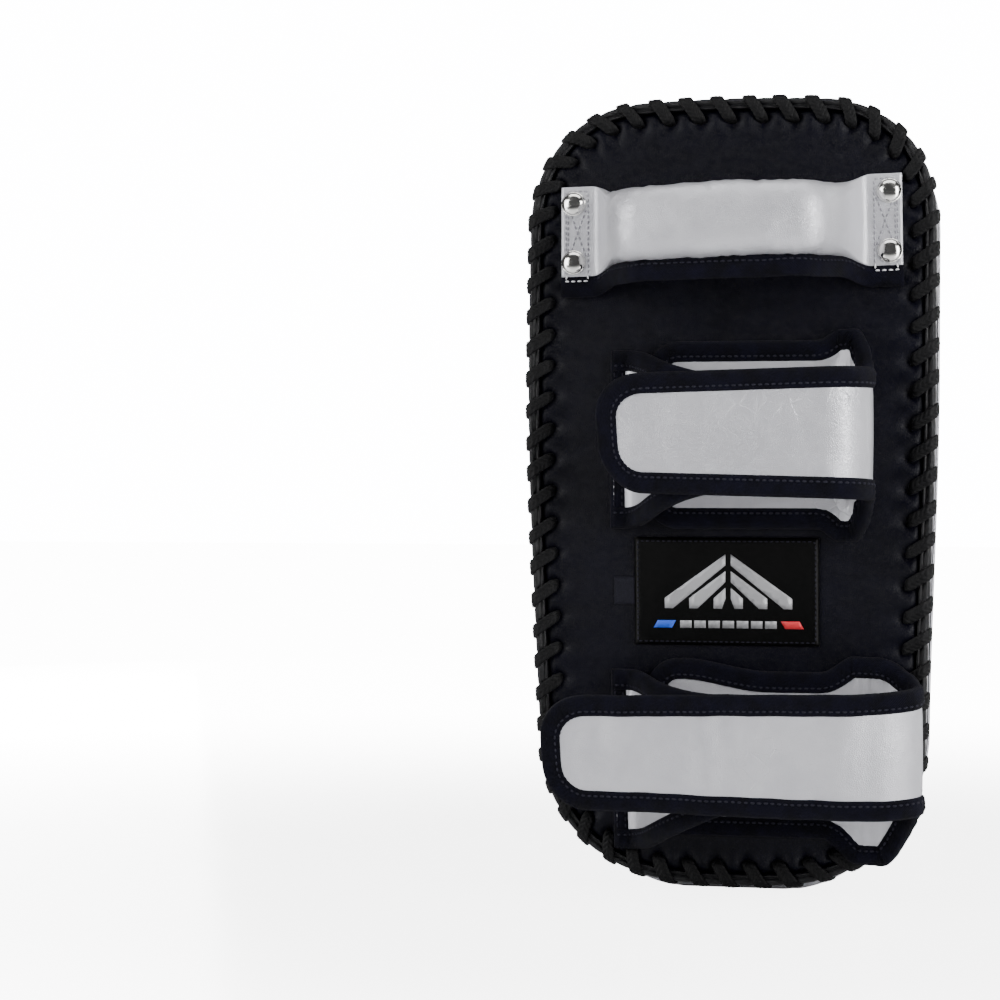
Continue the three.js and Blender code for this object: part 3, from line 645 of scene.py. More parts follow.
def thicken(made, depth, facing):
    """Gives a thin sheet a closed body. facing is the way its seen side looks along Y: 1 front, -1 back."""
    def solid(work):
        for f in work.faces:
            if f.normal.y * facing < 0:
                f.normal_flip()
        bmesh.ops.solidify(work, geom=work.faces[:], thickness=depth * MM)

    rework(made, solid)


def make_front():
    plan, depth, _ = panel_points(0.4)
    flat = plan.reshape(-1, 2)
    y = front_y(flat[:, 0], flat[:, 1]) + (front_height(depth.ravel()) - front_height(inset_of(*flat.T)))
    points = np.stack([flat[:, 0], y, flat[:, 1]], 1).reshape(*plan.shape[:2], 3)
    panel = close_panel("striking_face", points, BLACK_LEATHER, LEATHER_SHELL, -1)
    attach(panel, "pad")
    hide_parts("front_panel")


def hole_distance(s):
    """Distance along the seam to the nearest lacing hole."""
    return (np.asarray(s) / STITCH_PITCH - 0.5 - np.round(np.asarray(s) / STITCH_PITCH - 0.5)) * STITCH_PITCH


GROOVE_DEPTH, GROOVE_INSET = 2.4, 3.4
PUFF_HEIGHT, PUFF_INSET = 1.25, 9.0
PUCKER_DEPTH, PUCKER_SIZE = 2.3, 2.7


def back_relief(s, d):
    """How far the back panel stands out (+) or is pulled in (-), at s round the seam and d in from it."""
    along = hole_distance(s)
    groove = -GROOVE_DEPTH * bump(d - GROOVE_INSET, 1.7)
    between = np.cos(2 * math.pi * (along / STITCH_PITCH) + math.pi)
    puff = PUFF_HEIGHT * bump(d - PUFF_INSET, 5.5) * (0.55 + 0.45 * between)
    pucker = -PUCKER_DEPTH * np.exp(-(along ** 2 + (d - HOLE_INSET) ** 2) / (2 * PUCKER_SIZE ** 2))
    crease = -0.5 * bump(along, 1.5) * np.exp(-np.maximum(d - HOLE_INSET, 0) / 6.5) * (d > HOLE_INSET - 4)
    return groove + puff + pucker + crease


def make_back():
    plan, depth, s = panel_points(2.2, step=1, inner=18)
    flat = plan.reshape(-1, 2)
    around = np.tile(s, plan.shape[0])
    relief = back_relief(around, depth.ravel())
    soft = 0.45 * ripple(flat, 30, 5.5) + 0.25 * ripple(flat, 11, 2.2) * np.exp(-depth.ravel() / 22)
    y = bow_y(flat[:, 1]) + BACK - relief - soft * smoothstep(depth.ravel(), 5, 14)
    points = np.stack([flat[:, 0], y, flat[:, 1]], 1).reshape(*plan.shape[:2], 3)
    panel = close_panel("back_panel_leather", points, BLACK_LEATHER, LEATHER_SHELL, 1)
    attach(panel, "pad")
    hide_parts("back_panel")


def sweep_outline(name, section, material, step=2, floor_clear=False):
    """A closed band round the seam. section(s, normal) gives (outward, y) points, shape (rows, n, 2)."""
    base, normal, s = SEAM[::step], SEAM_NORMAL[::step], SEAM_S[::step]
    shape = section(s, normal)
    x = base[:, None, 0] + normal[:, None, 0] * shape[:, :, 0]
    z = base[:, None, 1] + normal[:, None, 1] * shape[:, :, 0]
    if floor_clear:
        z = np.maximum(z, 0.02)
    rings = np.stack([x, bow_y(z) + shape[:, :, 1], z], 2)
    around = np.append(s, SEAM_LENGTH)
    across = distances(shape[0], closed=True)
    return skin(name, rings, material, closed=True, uv=(around, across))


def make_gusset():
    """The side wall: a soft swell, pleats at both seams, and the flat that the pad stands on."""
    first, last, steps, wall = BACK + 3.0, FRONT_SEAM + 0.2, 22, 1.8
    span, loop_radius = 70, 165

    def section(s, normal):
        v = np.linspace(0, 1, steps)
        down = np.maximum(0, -normal[:, 1]) ** 8
        swell = (1.7 + 6 * down)[:, None] * (1 - np.abs(2 * v - 1) ** 7)[None, :]
        angle = s[:, None] / SEAM_LENGTH * 2 * math.pi
        looped = np.stack(np.broadcast_arrays(np.cos(angle) * loop_radius, np.sin(angle) * loop_radius,
                                              v[None, :] * span), -1)
        pleats = ripple(looped * [1, 1, 0.22], 5.0, 1.7)
        soft = ripple(looped, 24, 6.1)
        seam_side = np.exp(-(1 - v) * span / 9)[None, :] + np.exp(-v * span / 10)[None, :]
        free = (1 - down)[:, None]
        tuck = 1.6 * free * np.exp(-v[None, :] * span / 7)
        out = -0.4 - 2 * v[None, :] + swell - tuck + free * (0.55 * pleats * seam_side + 0.4 * soft)
        y = np.tile(first + (last - first) * v, (len(s), 1))
        inner = np.stack([out[:, ::-1] - wall, y[:, ::-1]], 2)
        return np.concatenate([np.stack([out, y], 2), inner], 1)

    gusset = sweep_outline("side_wall", section, SILVER_LEATHER, floor_clear=True)
    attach(gusset, "pad")
    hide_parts("side_gusset")


def fixed_section(points):
    """The same section at every place round the outline."""
    return lambda s, normal: np.tile(np.array(points, float), (len(s), 1, 1))


def make_piping():
    centre, radius = (-0.9, FRONT_SEAM + 0.4), 1.35
    ring = [(centre[0] + radius * math.cos(a), centre[1] + radius * math.sin(a))
            for a in np.linspace(0, 2 * math.pi, 10, endpoint=False)]
    piping = sweep_outline("front_seam_piping", fixed_section(ring), SILVER_LEATHER)
    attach(piping, "pad")
    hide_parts("front_piping")


def make_welt():
    """The rolled edge: an outer ridge and a thin inner one, squeezed a little where each lace crosses."""
    profile = np.array([(-3.9, 1.4), (-3.7, -0.5), (-3.1, -1.25), (-2.4, -1.1), (-2.0, -0.55), (-1.5, -1.3),
                        (-0.6, -2.1), (0.4, -2.1), (1.2, -1.4), (1.7, -0.2), (1.8, 1.4), (1.6, 3.0),
                        (1.2, 4.4), (0.2, 6.0), (-1.5, 6.0), (-3.6, 5.4)])

    def section(s, normal):
        crossing = np.minimum(np.abs(hole_distance(s - 5.0)), 9)
        squeeze = 1 - 0.16 * bump(crossing, 2.4)
        middle = np.array([-1.0, 2.0])
        return [0, BACK] + middle + (profile - middle)[None] * squeeze[:, None, None]

    welt = sweep_outline("rolled_edge", section, WELT_LEATHER, step=1)
    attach(welt, "pad")
    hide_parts("edge_welt")


# One stitch of the lace: distance along the seam from its hole, outward distance from the seam,
# y from the back panel's face, and the lace's facing direction as (outward, y).
LACE_ROUTE = np.array([
    (9.0, 0.9, 6.4, 1.0, 0.0), (8.9, 1.8, 5.0, 1.0, 0.0), (8.7, 2.2, 3.2, 1.0, 0.0),
    (8.3, 2.2, 1.2, 1.0, -0.1), (7.6, 1.7, -1.0, 0.8, -0.6), (6.6, 0.4, -2.6, 0.3, -1.0),
    (5.2, -1.6, -2.9, 0.0, -1.0),
    (3.7, -3.8, -2.4, 0.0, -1.0), (2.3, -6.0, -2.0, -0.1, -1.0), (1.1, -7.9, -1.4, -0.3, -1.0),
    (0.3, -9.2, 0.2, -1.0, -0.6), (0.0, -9.7, 2.4, -1.0, -0.1)])
LACE_WIDTH = 6.0
LACE_HALF = 0.85
BRAID_PITCH = 2.5
BRAID_RIDGE = 0.50


def lace_stitch(s_hole, seed):
    """Rings of points (rows, columns, 3) of one flat braided stitch."""
    steps, columns = 54, 15
    key = np.linspace(0, 1, len(LACE_ROUTE))
    fine = np.linspace(0, 1, steps)
    route = np.stack([np.interp(fine, key, LACE_ROUTE[:, k]) for k in range(5)], 1)
    for _ in range(2):
        route[1:-1] = (route[:-2] + 2 * route[1:-1] + route[2:]) / 4
    wander = 0.5 * math.sin(seed * 2.4) * np.sin(fine * math.pi)
    base, normal = seam_at(s_hole + route[:, 0] + wander)
    plan = base + normal * route[:, 1:2]
    centre = np.stack([plan[:, 0], bow_y(plan[:, 1]) + BACK + route[:, 2], plan[:, 1]], 1)
    facing = np.stack([normal[:, 0] * route[:, 3], route[:, 4], normal[:, 1] * route[:, 3]], 1)
    facing /= np.linalg.norm(facing, axis=1)[:, None]
    along = np.gradient(centre, axis=0)
    along /= np.linalg.norm(along, axis=1)[:, None]
    side = np.cross(along, facing)
    side /= np.linalg.norm(side, axis=1)[:, None]
    facing = np.cross(side, along)
    at = distances(centre)
    ends = smoothstep(np.minimum(at, at[-1] - at), 0, 5)
    width = LACE_WIDTH * (0.78 + 0.22 * ends) * (1 + 0.06 * math.sin(seed))
    u = np.linspace(-1, 1, columns)
    strands = np.abs(np.sin(math.pi * (at[:, None] / BRAID_PITCH + np.abs(u)[None, :] * 1.1 + seed)))
    ridge = BRAID_RIDGE * strands + 0.16 * np.abs(np.cos(math.pi * u * 1.5))[None, :]
    top = LACE_HALF * np.sqrt(np.maximum(0, 1 - 0.86 * u ** 2))[None, :] * 0.8 + ridge
    low = -LACE_HALF * np.sqrt(np.maximum(0, 1 - 0.9 * u[::-2] ** 2)) * 0.8

    def place(across, out):
        return centre[:, None] + side[:, None] * across[..., None] + facing[:, None] * out[..., None]

    outer = place(u[None, :] * width[:, None] / 2, top)
    inner = place(u[::-2][None, :] * width[:, None] / 2, np.tile(low, (steps, 1)))
    return np.concatenate([outer, inner], 1)


def make_lacing():
    verts, faces = [], []
    for i in range(STITCHES):
        rings = lace_stitch((i + 0.5) * STITCH_PITCH, i * 1.7)
        rows, columns = rings.shape[:2]
        first = len(verts)
        verts.extend(rings.reshape(-1, 3))
        faces += grid_faces(rows, columns, False, True, first)
        faces += end_caps(rows, columns, first)
    lace = new_object("whip_stitched_lace", verts, faces, LACE_YARN)
    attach(lace, "pad")
    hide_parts("lacing_cord")


# ---- Prints on the striking face
PRINT_LIFT = 0.22
RING_CENTRE = (0.0, 194.8)
BADGE_CENTRE = (-1.0, 56.0)


def arc_band(centre, inner, outer, start=0.0, end=360.0, step_mm=2.4):
    """Points and faces of a ring or a piece of one."""
    turn = math.radians(end - start)
    columns = max(4, int(turn * outer / step_mm))
    rows = max(2, int((outer - inner) / step_mm) + 1)
    closed = end - start >= 360
    angles = math.radians(start) + np.linspace(0, turn, columns, endpoint=not closed)
    radii = np.linspace(inner, outer, rows)
    x = centre[0] + radii[:, None] * np.cos(angles)[None]
    z = centre[1] + radii[:, None] * np.sin(angles)[None]
    return np.stack([x, z], 2).reshape(-1, 2), grid_faces(rows, columns, False, closed)


def polygon_patch(corners, step_mm=3.0):
    """A flat polygon cut into a grid fine enough to follow the pillow."""
    work = bmesh.new()
    work.faces.new([work.verts.new((x, 0, z)) for x, z in corners])
    low, high = np.min(corners, 0), np.max(corners, 0)
    for axis, normal in ((0, (1, 0, 0)), (1, (0, 0, 1))):
        for cut in np.arange(low[axis] + step_mm, high[axis], step_mm):
            everything = work.verts[:] + work.edges[:] + work.faces[:]
            bmesh.ops.bisect_plane(work, geom=everything, plane_co=[cut * k for k in normal], plane_no=normal)
    work.verts.index_update()
    points = np.array([(v.co.x, v.co.z) for v in work.verts])
    faces = [tuple(v.index for v in f.verts) for f in work.faces]
    work.free()
    return points, faces


def gather(shapes):
    """Joins shapes into one list of plan points and faces."""
    points, faces = [], []
    for plan, cells in shapes:
        first = sum(len(p) for p in points)
        points.append(plan)
        faces += [tuple(first + i for i in f) for f in cells]
    return np.vstack(points), faces


def make_print(name, shapes, material):
    """A print on the striking face, thin as foil, that follows the leather."""
    plan, faces = gather(shapes)
    y = front_y(plan[:, 0], plan[:, 1], PRINT_LIFT)
    printed = new_object(name, np.stack([plan[:, 0], y, plan[:, 1]], 1), faces, material)
    thicken(printed, 0.35, 1)
    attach(printed, "pad")


def slanted_bar(x, z, width, height, slant):
    """A parallelogram from its lower left corner."""
    return [(x, z), (x + width, z), (x + width + slant, z + height), (x + slant, z + height)]


def roof(bands, z, weight):
    """Nested roof shapes, two mirrored arms for each (half width, rise)."""
    return [polygon_patch(chevron_half(half, z, rise, weight, side))
            for half, rise in bands for side in (-1, 1)]


def bar_row(count, x, pitch, z, width, height):
    return [polygon_patch(slanted_bar(x + i * pitch, z, width, height, 0)) for i in range(count)]


def make_prints():
    make_print("target_ring", [arc_band(RING_CENTRE, 52.2, 70.2)], RING_FOIL)
    disc = [arc_band(RING_CENTRE, 0.6, 30.2), polygon_patch(circle(RING_CENTRE, 0.7, 24))]
    make_print("target_disc", disc, DISC_FOIL)
    mark = roof(((58.0, 36.0), (35.4, 22.0), (12.9, 8.0)), 312.0, 9.0) + bar_row(9, -43, 9.6, 299.5, 7.6, 6.5)
    make_print("upper_emblem", mark, RING_FOIL)
    centre = BADGE_CENTRE
    badge = [arc_band(centre, inner, outer, step_mm=1.6)
             for inner, outer in ((28.6, 30.2), (26.9, 27.5), (16.6, 17.4))]
    for i in range(36):
        long = 24.6 if i % 3 == 0 else 23.2
        badge.append(arc_band(centre, 19.6, long, i * 10 + 2.2, i * 10 + 6.6, 1.6))
    for k in range(3):
        badge.append(polygon_patch(diamond(centre[0], centre[1] - 8.5 + 7 * k + 1.5, 9.5 - 2.2 * k, 5.2)))
    make_print("lower_badge", badge, MARK_FOIL)


def circle(centre, radius, count):
    return [(centre[0] + radius * math.cos(a), centre[1] + radius * math.sin(a))
            for a in np.linspace(0, 2 * math.pi, count, endpoint=False)]


def chevron_half(half, z, rise, weight, side):
    """One arm of a roof shape, from its foot at +-half up to the middle line, with a narrow gap there."""
    gap = 1.3
    points = [(gap, z + rise), (half - weight * 0.75, z), (half, z), (half, z + 5), (gap, z + rise + weight)]
    return [(side * x, h) for x, h in points]


def diamond(x, z, half, height):
    return [(x - half, z), (x, z - height / 2), (x + half, z), (x, z + height / 2)]


# ---- Places on the back
def on_back(z_middle, x, depth, height, roll=0.0):
    """World points from local x, depth out from the back panel at z_middle, and height along the panel."""
    x, depth, height = (np.asarray(v, float) for v in (x, depth, height))
    rolled_x = x * math.cos(roll) - height * math.sin(roll)
    rolled_h = height * math.cos(roll) + x * math.sin(roll)
    tilt = -math.atan(bow_slope(z_middle))
    y = bow_y(z_middle) + BACK - depth * math.cos(tilt) - rolled_h * math.sin(tilt)
    z = z_middle - depth * math.sin(tilt) + rolled_h * math.cos(tilt)
    return np.stack(np.broadcast_arrays(rolled_x, y, z), -1)


class Path:
    """A strap's plan path as (x, depth) points, with its direction and outer side along it."""

    def __init__(self, points):
        self.points, self.length = resample(np.asarray(points, float), 400, closed=False)
        self.at = np.linspace(0, self.length, 400)
        along = np.gradient(self.points, axis=0)
        self.along = along / np.linalg.norm(along, axis=1)[:, None]

    def place(self, s, out):
        """Plan point at distance s, moved out to the outer side. It runs straight on past the ends."""
        s, out = np.asarray(s, float), np.asarray(out, float)
        pick = lambda table, k: np.interp(s, self.at, table[:, k])
        tx, td = pick(self.along, 0), pick(self.along, 1)
        beyond = np.minimum(s, 0) + np.maximum(s - self.length, 0)
        return pick(self.points, 0) + tx * beyond + td * out, pick(self.points, 1) + td * beyond - tx * out


def cuff_path(cuff):
    """Base band along the panel, half an ellipse round the arm's far side, and back to the tail's tip."""
    x0, x1 = cuff["base"]
    turn = np.linspace(-math.pi / 2, math.pi / 2, 90)
    ellipse = np.stack([x1 + cuff["turn"] * np.cos(turn), FOLD_DEPTH + TURN_DEPTH * np.sin(turn)], 1)
    return Path(np.vstack([[(x0, BAND_DEPTH)], ellipse, [(cuff["tip"], TAIL_DEPTH)]]))


def flap_path(cuff):
    x = cuff["root"] - 6
    curve = bezier((x + 6, ROOT_DEPTH), (x + 18, ROOT_DEPTH), (x + 20, FLAP_DEPTH), (x + 50, FLAP_DEPTH), 80)
    return Path(np.vstack([[(x, ROOT_DEPTH)], curve, [(x + 50, FLAP_DEPTH), (cuff["flap_tip"], FLAP_DEPTH)]]))


def rounded_outline(low, high, start, end, start_radius, end_radius, step=1.9):
    """Outline (s, h) of a strap whose edges are low(s) and high(s), its ends rounded.

    It is open at the start if start_radius is None.
    """
    first = start + (start_radius or 0)
    edge = np.arange(first, end - end_radius, step)
    turn = np.linspace(0, math.pi / 2, 14)
    s_end = end - end_radius
    bottom = np.stack([edge, low(edge)], 1)
    low_end, high_end = float(low(s_end)), float(high(s_end))
    corner_low = np.stack([s_end + end_radius * np.sin(turn), low_end + end_radius * (1 - np.cos(turn))], 1)
    corner_high = np.stack([s_end + end_radius * np.cos(turn), high_end - end_radius * (1 - np.sin(turn))], 1)
    parts = [bottom, corner_low, corner_high, np.stack([edge, high(edge)], 1)[::-1]]
    if start_radius:
        low_first, high_first = float(low(first)), float(high(first))
        sin, cos = np.sin(turn), np.cos(turn)
        parts.append(np.stack([first - start_radius * sin, high_first - start_radius * (1 - cos)], 1))
        parts.append(np.stack([first - start_radius * cos, low_first + start_radius * (1 - sin)], 1))
    line = np.vstack(parts)
    count = int(distances(line, closed=bool(start_radius))[-1] / step)
    return resample(line, count, closed=bool(start_radius))[0]


def inward(outline, closed):
    """Unit directions into the strap, across its outline, in (s, h)."""
    if closed:
        along = np.roll(outline, -1, 0) - np.roll(outline, 1, 0)
    else:
        along = np.gradient(outline, axis=0)
    across = np.stack([-along[:, 1], along[:, 0]], 1)
    return across / np.linalg.norm(across, axis=1)[:, None]


# Section of a bound edge: distance in from the strap's edge, and height off its middle surface.
BINDING_HALF = [(10.2, 1.7), (9.7, 2.55), (8.6, 2.85), (7.6, 2.7), (6.0, 3.05), (3.5, 3.1), (1.4, 2.6),
                (0.3, 1.5)]
BINDING_PROFILE = BINDING_HALF + [(0.0, 0.0)] + [(d, -y) for d, y in reversed(BINDING_HALF)]
STITCH_INSET = 7.7


class Strap:
    """One bound leather strap: its leather, its woven binding and the stitches that hold it."""

    def __init__(self, name, z_middle, path, low, high, ends, warp, slant=0.0, thickness=3.4):
        self.name, self.z, self.path, self.low, self.high = name, z_middle, path, low, high
        self.start_radius, self.end_radius = ends
        self.warp, self.slant, self.half_thick = warp, slant, thickness / 2
        self.closed = bool(self.start_radius)
        self.outline = rounded_outline(low, high, 0.0, path.length, self.start_radius, self.end_radius)

    def point(self, s, h, out):
        s, h, out = np.broadcast_arrays(*(np.asarray(v, float) for v in (s, h, out)))
        shift = self.slant * smoothstep(s, self.path.length - 30, self.path.length)
        middle = (self.low(s) + self.high(s)) / 2
        s = s - shift * (middle - h) / 30
        x, depth = self.path.place(s, out + self.warp(s, h))
        return on_back(self.z, x, depth, h)

    def leather(self):
        inset = 7.0
        first = inset if self.closed else 0.3
        stations = np.arange(first, self.path.length - inset, 1.5)
        across = np.linspace(0, 1, 30)
        low, high = self.low(stations) + inset, self.high(stations) - inset
        h = low[:, None] + (high - low)[:, None] * across[None, :]
        s = np.repeat(stations[:, None], len(across), 1)
        cushion = 0.5 * np.sin(math.pi * across)[None, :] ** 0.5
        outer = self.point(s, h, self.half_thick + cushion)
        inner = self.point(s, h, -self.half_thick - cushion * 0.6)
        rings = np.concatenate([outer, inner[:, ::-1]], 1)
        return skin(self.name + "_leather", rings, SILVER_LEATHER)

    def binding(self):
        direction = inward(self.outline, self.closed)
        around = distances(self.outline, self.closed)
        profile = np.array(BINDING_PROFILE)
        s, h = (self.outline[:, None, k] + direction[:, None, k] * profile[None, :, 0] for k in (0, 1))
        curve = np.linalg.norm(np.roll(direction, -3, 0) - np.roll(direction, 3, 0), axis=1)
        smoothed = np.convolve(np.tile(curve, 3), np.ones(5) / 5, "same")[len(curve):2 * len(curve)]
        tight = smoothstep(smoothed, 0.1, 0.6)
        run = around[: len(self.outline), None]
        where = np.stack(np.broadcast_arrays(run * 0.5, profile[None, :, 0]), -1)
        pleat = 1.7 * np.sin(2 * math.pi * (run / 3.4 + profile[None, :, 0] * 0.11)) * tight[:, None]
        loose = ripple(where, 3.5, 4.4)
        swell = 1 + (0.10 * pleat + 0.10 * loose) * (np.abs(profile[:, 1]) > 2)[None, :]
        rings = self.point(s, h, profile[None, :, 1] * swell)
        across = distances(profile, closed=True)
        rows = around if self.closed else around[: len(self.outline)]
        return skin(self.name + "_binding", rings, BINDING_TAPE, closed=self.closed, uv=(rows, across))

    def stitches(self):
        direction = inward(self.outline, self.closed)
        line = self.outline + direction * STITCH_INSET
        pairs = stitch_ends(line, 2.1, 3.1, self.closed)
        ends, ups = [], []
        for side in (-1, 1):
            for a, b in pairs:
                p, q = (self.point(e[0], e[1], side * 2.72) for e in (a, b))
                raised = self.point((a[0] + b[0]) / 2, (a[1] + b[1]) / 2, side * 3.72)
                up = raised - (p + q) / 2
                ends.append((p, q))
                ups.append(up / (np.linalg.norm(up) + 1e-9))
        return threads(self.name + "_stitches", ends, ups, 0.5, DARK_THREAD, lift=0.35)


def cuff_strap(cuff):
    path = cuff_path(cuff)
    base_length = cuff["base"][1] - cuff["base"][0]
    tail_length = cuff["base"][1] - cuff["tip"]
    fold = (path.length - base_length - tail_length) / 2
    middle = base_length + fold

    def edge(s, index, sign):
        s = np.asarray(s, float)
        flare = smoothstep(s, middle - fold * 1.15, middle - fold * 0.82)
        narrow = smoothstep(s, middle - fold * 0.55, middle)
        taper = np.clip((s - middle) / (path.length - middle), 0, 1)
        wide = lerp(cuff["band"][index], cuff["wide"][index], flare)
        tail = cuff["tail_z"] + sign * lerp(cuff["half"][0], cuff["half"][1], taper)
        wave = (cuff["dip"] if sign > 0 else 0) * -smoothstep(s, 18, 60) * (1 - flare)
        return lerp(wide + wave, tail, narrow)

    def warp(s, h):
        """Soft folds across the tail, and a bed of small crinkles on the inside of the turn."""
        flat = np.stack([s, h], -1)
        folds = ripple(flat * [1, 0.22], 15, cuff["z"]) * cuff["waves"]
        broad = ripple(flat * [1, 0.5], 38, 7.7) * 1.1
        past = smoothstep(s, middle - 4, middle + 4)
        turned = smoothstep(s, middle - fold, middle - fold * 0.7) * (1 - past)
        edge_near = smoothstep(np.abs(h - cuff["tail_z"]), 14, 34)
        crinkle = ripple(flat * [1, 0.35], 2.6, 1.3) * 1.2
        tail = smoothstep(s, middle, middle + fold)
        return tail * folds + (1 - turned) * 0.3 * broad + turned * edge_near * crinkle

    low = lambda s: edge(s, 0, -1)
    high = lambda s: edge(s, 1, 1)
    return Strap(cuff["name"] + "_strap", cuff["z"], path, low, high, (16.0, 22.0), warp, cuff["slant"])


def flap_strap(cuff):
    path = flap_path(cuff)
    tip = cuff["half"][1] - 1
    low = lambda s: lerp(cuff["root_z"][0], cuff["tail_z"] - tip, smoothstep(s, 4, path.length * 0.75))
    high = lambda s: lerp(cuff["root_z"][1], cuff["tail_z"] + tip, smoothstep(s, 4, path.length * 0.75))

    def warp(s, h):
        return ripple(np.stack([s, h], -1) * [1, 0.6], 17, 11.0) * 0.5 * smoothstep(s, 6, 30)

    return Strap(cuff["name"] + "_flap", cuff["z"], path, low, high, (None, 9.0), warp, thickness=2.6)


def outward(z_middle):
    tilt = -math.atan(bow_slope(z_middle))
    return Vector((0, -math.cos(tilt), -math.sin(tilt)))


def dress(node, material):
    """Gives a CAD node that is shown as it is a Blender material."""
    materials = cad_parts[node].data.materials
    materials.clear()
    materials.append(material)


def make_cuff(cuff):
    name = cuff["name"]
    strap = cuff_strap(cuff)
    leather_piece, binding, stitches = strap.leather(), strap.binding(), strap.stitches()
    slots = ("silver_leather", "binding_tape", "binding_tape")
    for piece, slot_name in zip((leather_piece, binding, stitches), slots):
        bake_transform(piece)
    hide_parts(name + "_base_band", name + "_tail")
    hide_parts(name + "_base_binding", name + "_tail_binding")

    flap = flap_strap(cuff)
    flap_pieces = (flap.leather(), flap.binding(), flap.stitches())
    for piece, slot_name in zip(flap_pieces, slots):
        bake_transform(piece)
    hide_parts(name + "_flap")
    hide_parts(name + "_flap_binding")
    make_flap_root(cuff)
    for node in ("_hook_tape", "_loop_tape"):
        dress(name + node, HOOK_TAPE)


def make_flap_root(cuff):
    """The flap's sewn root: a folded strip of tape with two rows of stitches."""
    low, high = cuff["root_z"]
    x0, x1 = cuff["root"] - 7.4, cuff["root"] - 0.2
    section = [(x0, 0.5), (x0 - 0.4, 1.8), (x0 + 0.6, 3.9), (x0 + 3.5, 4.6), (x1, 4.3), (x1 + 0.6, 3.2),
               (x1, 0.7)]
    rows = np.linspace(low + 0.4, high - 0.4, 60)
    soft = 1 + 0.05 * ripple(rows[:, None], 4, 3.0)
    rings = np.array([[on_back(cuff["z"], x, d * k, h) for x, d in section] for h, k in zip(rows, soft)])
    uv = (rows - low, distances(np.array(section), closed=True))
    root = skin(cuff["name"] + "_flap_root_tape", rings, BINDING_TAPE, uv=uv)
    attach(root, "pad")
    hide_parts(cuff["name"] + "_flap_root")
    normal = np.array(outward(cuff["z"]))
    ends = []
    for x in (x0 + 2.0, x1 - 1.2):
        line = on_back(cuff["z"], np.full(60, x), np.full(60, 4.35), rows)
        ends += stitch_ends(line, 2.3, 3.3)
    sewn = threads(cuff["name"] + "_flap_root_stitches", ends, [normal] * len(ends), 0.4, DARK_THREAD, 0.3)
    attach(sewn, "pad")


# ---- Handle
def grip_depth(x):
    x = np.abs(np.asarray(x, float))
    rise = smoothstep(TAB_INNER - x, 0, 30)
    arch = 1 - (np.minimum(x, TAB_INNER) / TAB_INNER) ** 2
    return TAB_DEPTH + (GRIP_DEPTH - GRIP_ARCH - TAB_DEPTH) * rise + GRIP_ARCH * arch * rise


def grip_size(x):
    """Half height, half thickness and roundness of the handle at x."""
    inside = TAB_INNER - np.abs(np.asarray(x, float))
    height = lerp(TAB_HALF_HEIGHT, GRIP_HALF_HEIGHT, smoothstep(inside, -1, 14))
    height = height + 0.4 * smoothstep(inside, 20, 60)
    thick = lerp(TAB_HALF_DEPTH, GRIP_HALF_DEPTH, smoothstep(inside, 2, 28))
    return height, thick, lerp(0.16, 0.80, smoothstep(inside, 0, 26))


def on_handle(x, across, height):
    """World points on the handle: across is the distance out from its middle line, height along the panel."""
    x = np.asarray(x, float)
    tilt = np.arctan(grip_depth(x + 0.5) - grip_depth(x - 0.5))
    drop = GRIP_DROP * smoothstep(TAB_INNER - np.abs(x), 0, 30)
    depth = grip_depth(x) + across * np.cos(tilt)
    return on_back(HANDLE_Z, x - across * np.sin(tilt), depth, height - drop, HANDLE_ROLL)


def make_handle_cover():
    xs = np.concatenate([np.linspace(-TAB_OUTER, -TAB_INNER, 12, endpoint=False),
                         np.linspace(-TAB_INNER, TAB_INNER, 150), np.linspace(TAB_INNER, TAB_OUTER, 13)[1:]])
    angles = np.linspace(0, 2 * math.pi, 56, endpoint=False)
    height, thick, power = (v[:, None] for v in grip_size(xs))
    c, s = np.cos(angles)[None, :], np.sin(angles)[None, :]
    across = thick * np.sign(c) * np.abs(c) ** power
    up = height * np.sign(s) * np.abs(s) ** power
    looped = np.stack(np.broadcast_arrays(xs[:, None], 18 * c, 18 * s), -1)
    loose = smoothstep(TAB_INNER - np.abs(xs), 4, 22)[:, None]
    soft = ripple(looped, 16, 2.0) * 0.7
    edge = bump(np.abs(up) / height - 1.0, 0.30)
    crinkle = ripple(looped * [1, 0.3, 0.3], 3.6, 9.0) * 0.55 * edge
    shoulder = bump(TAB_INNER - np.abs(xs) - 12, 9)[:, None]
    pleat = ripple(looped * [0.5, 1, 1.6], 5.0, 4.0) * 0.7 * shoulder
    grow = loose * (soft + crinkle) + pleat * (c > -0.3)
    x_all = np.repeat(xs[:, None], len(angles), 1)
    rings = on_handle(x_all, across + grow * c, up + grow * s)
    cover = skin("padded_handle", rings, SILVER_LEATHER)
    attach(cover, "pad")
    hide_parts("handle_cover", "handle_foam")


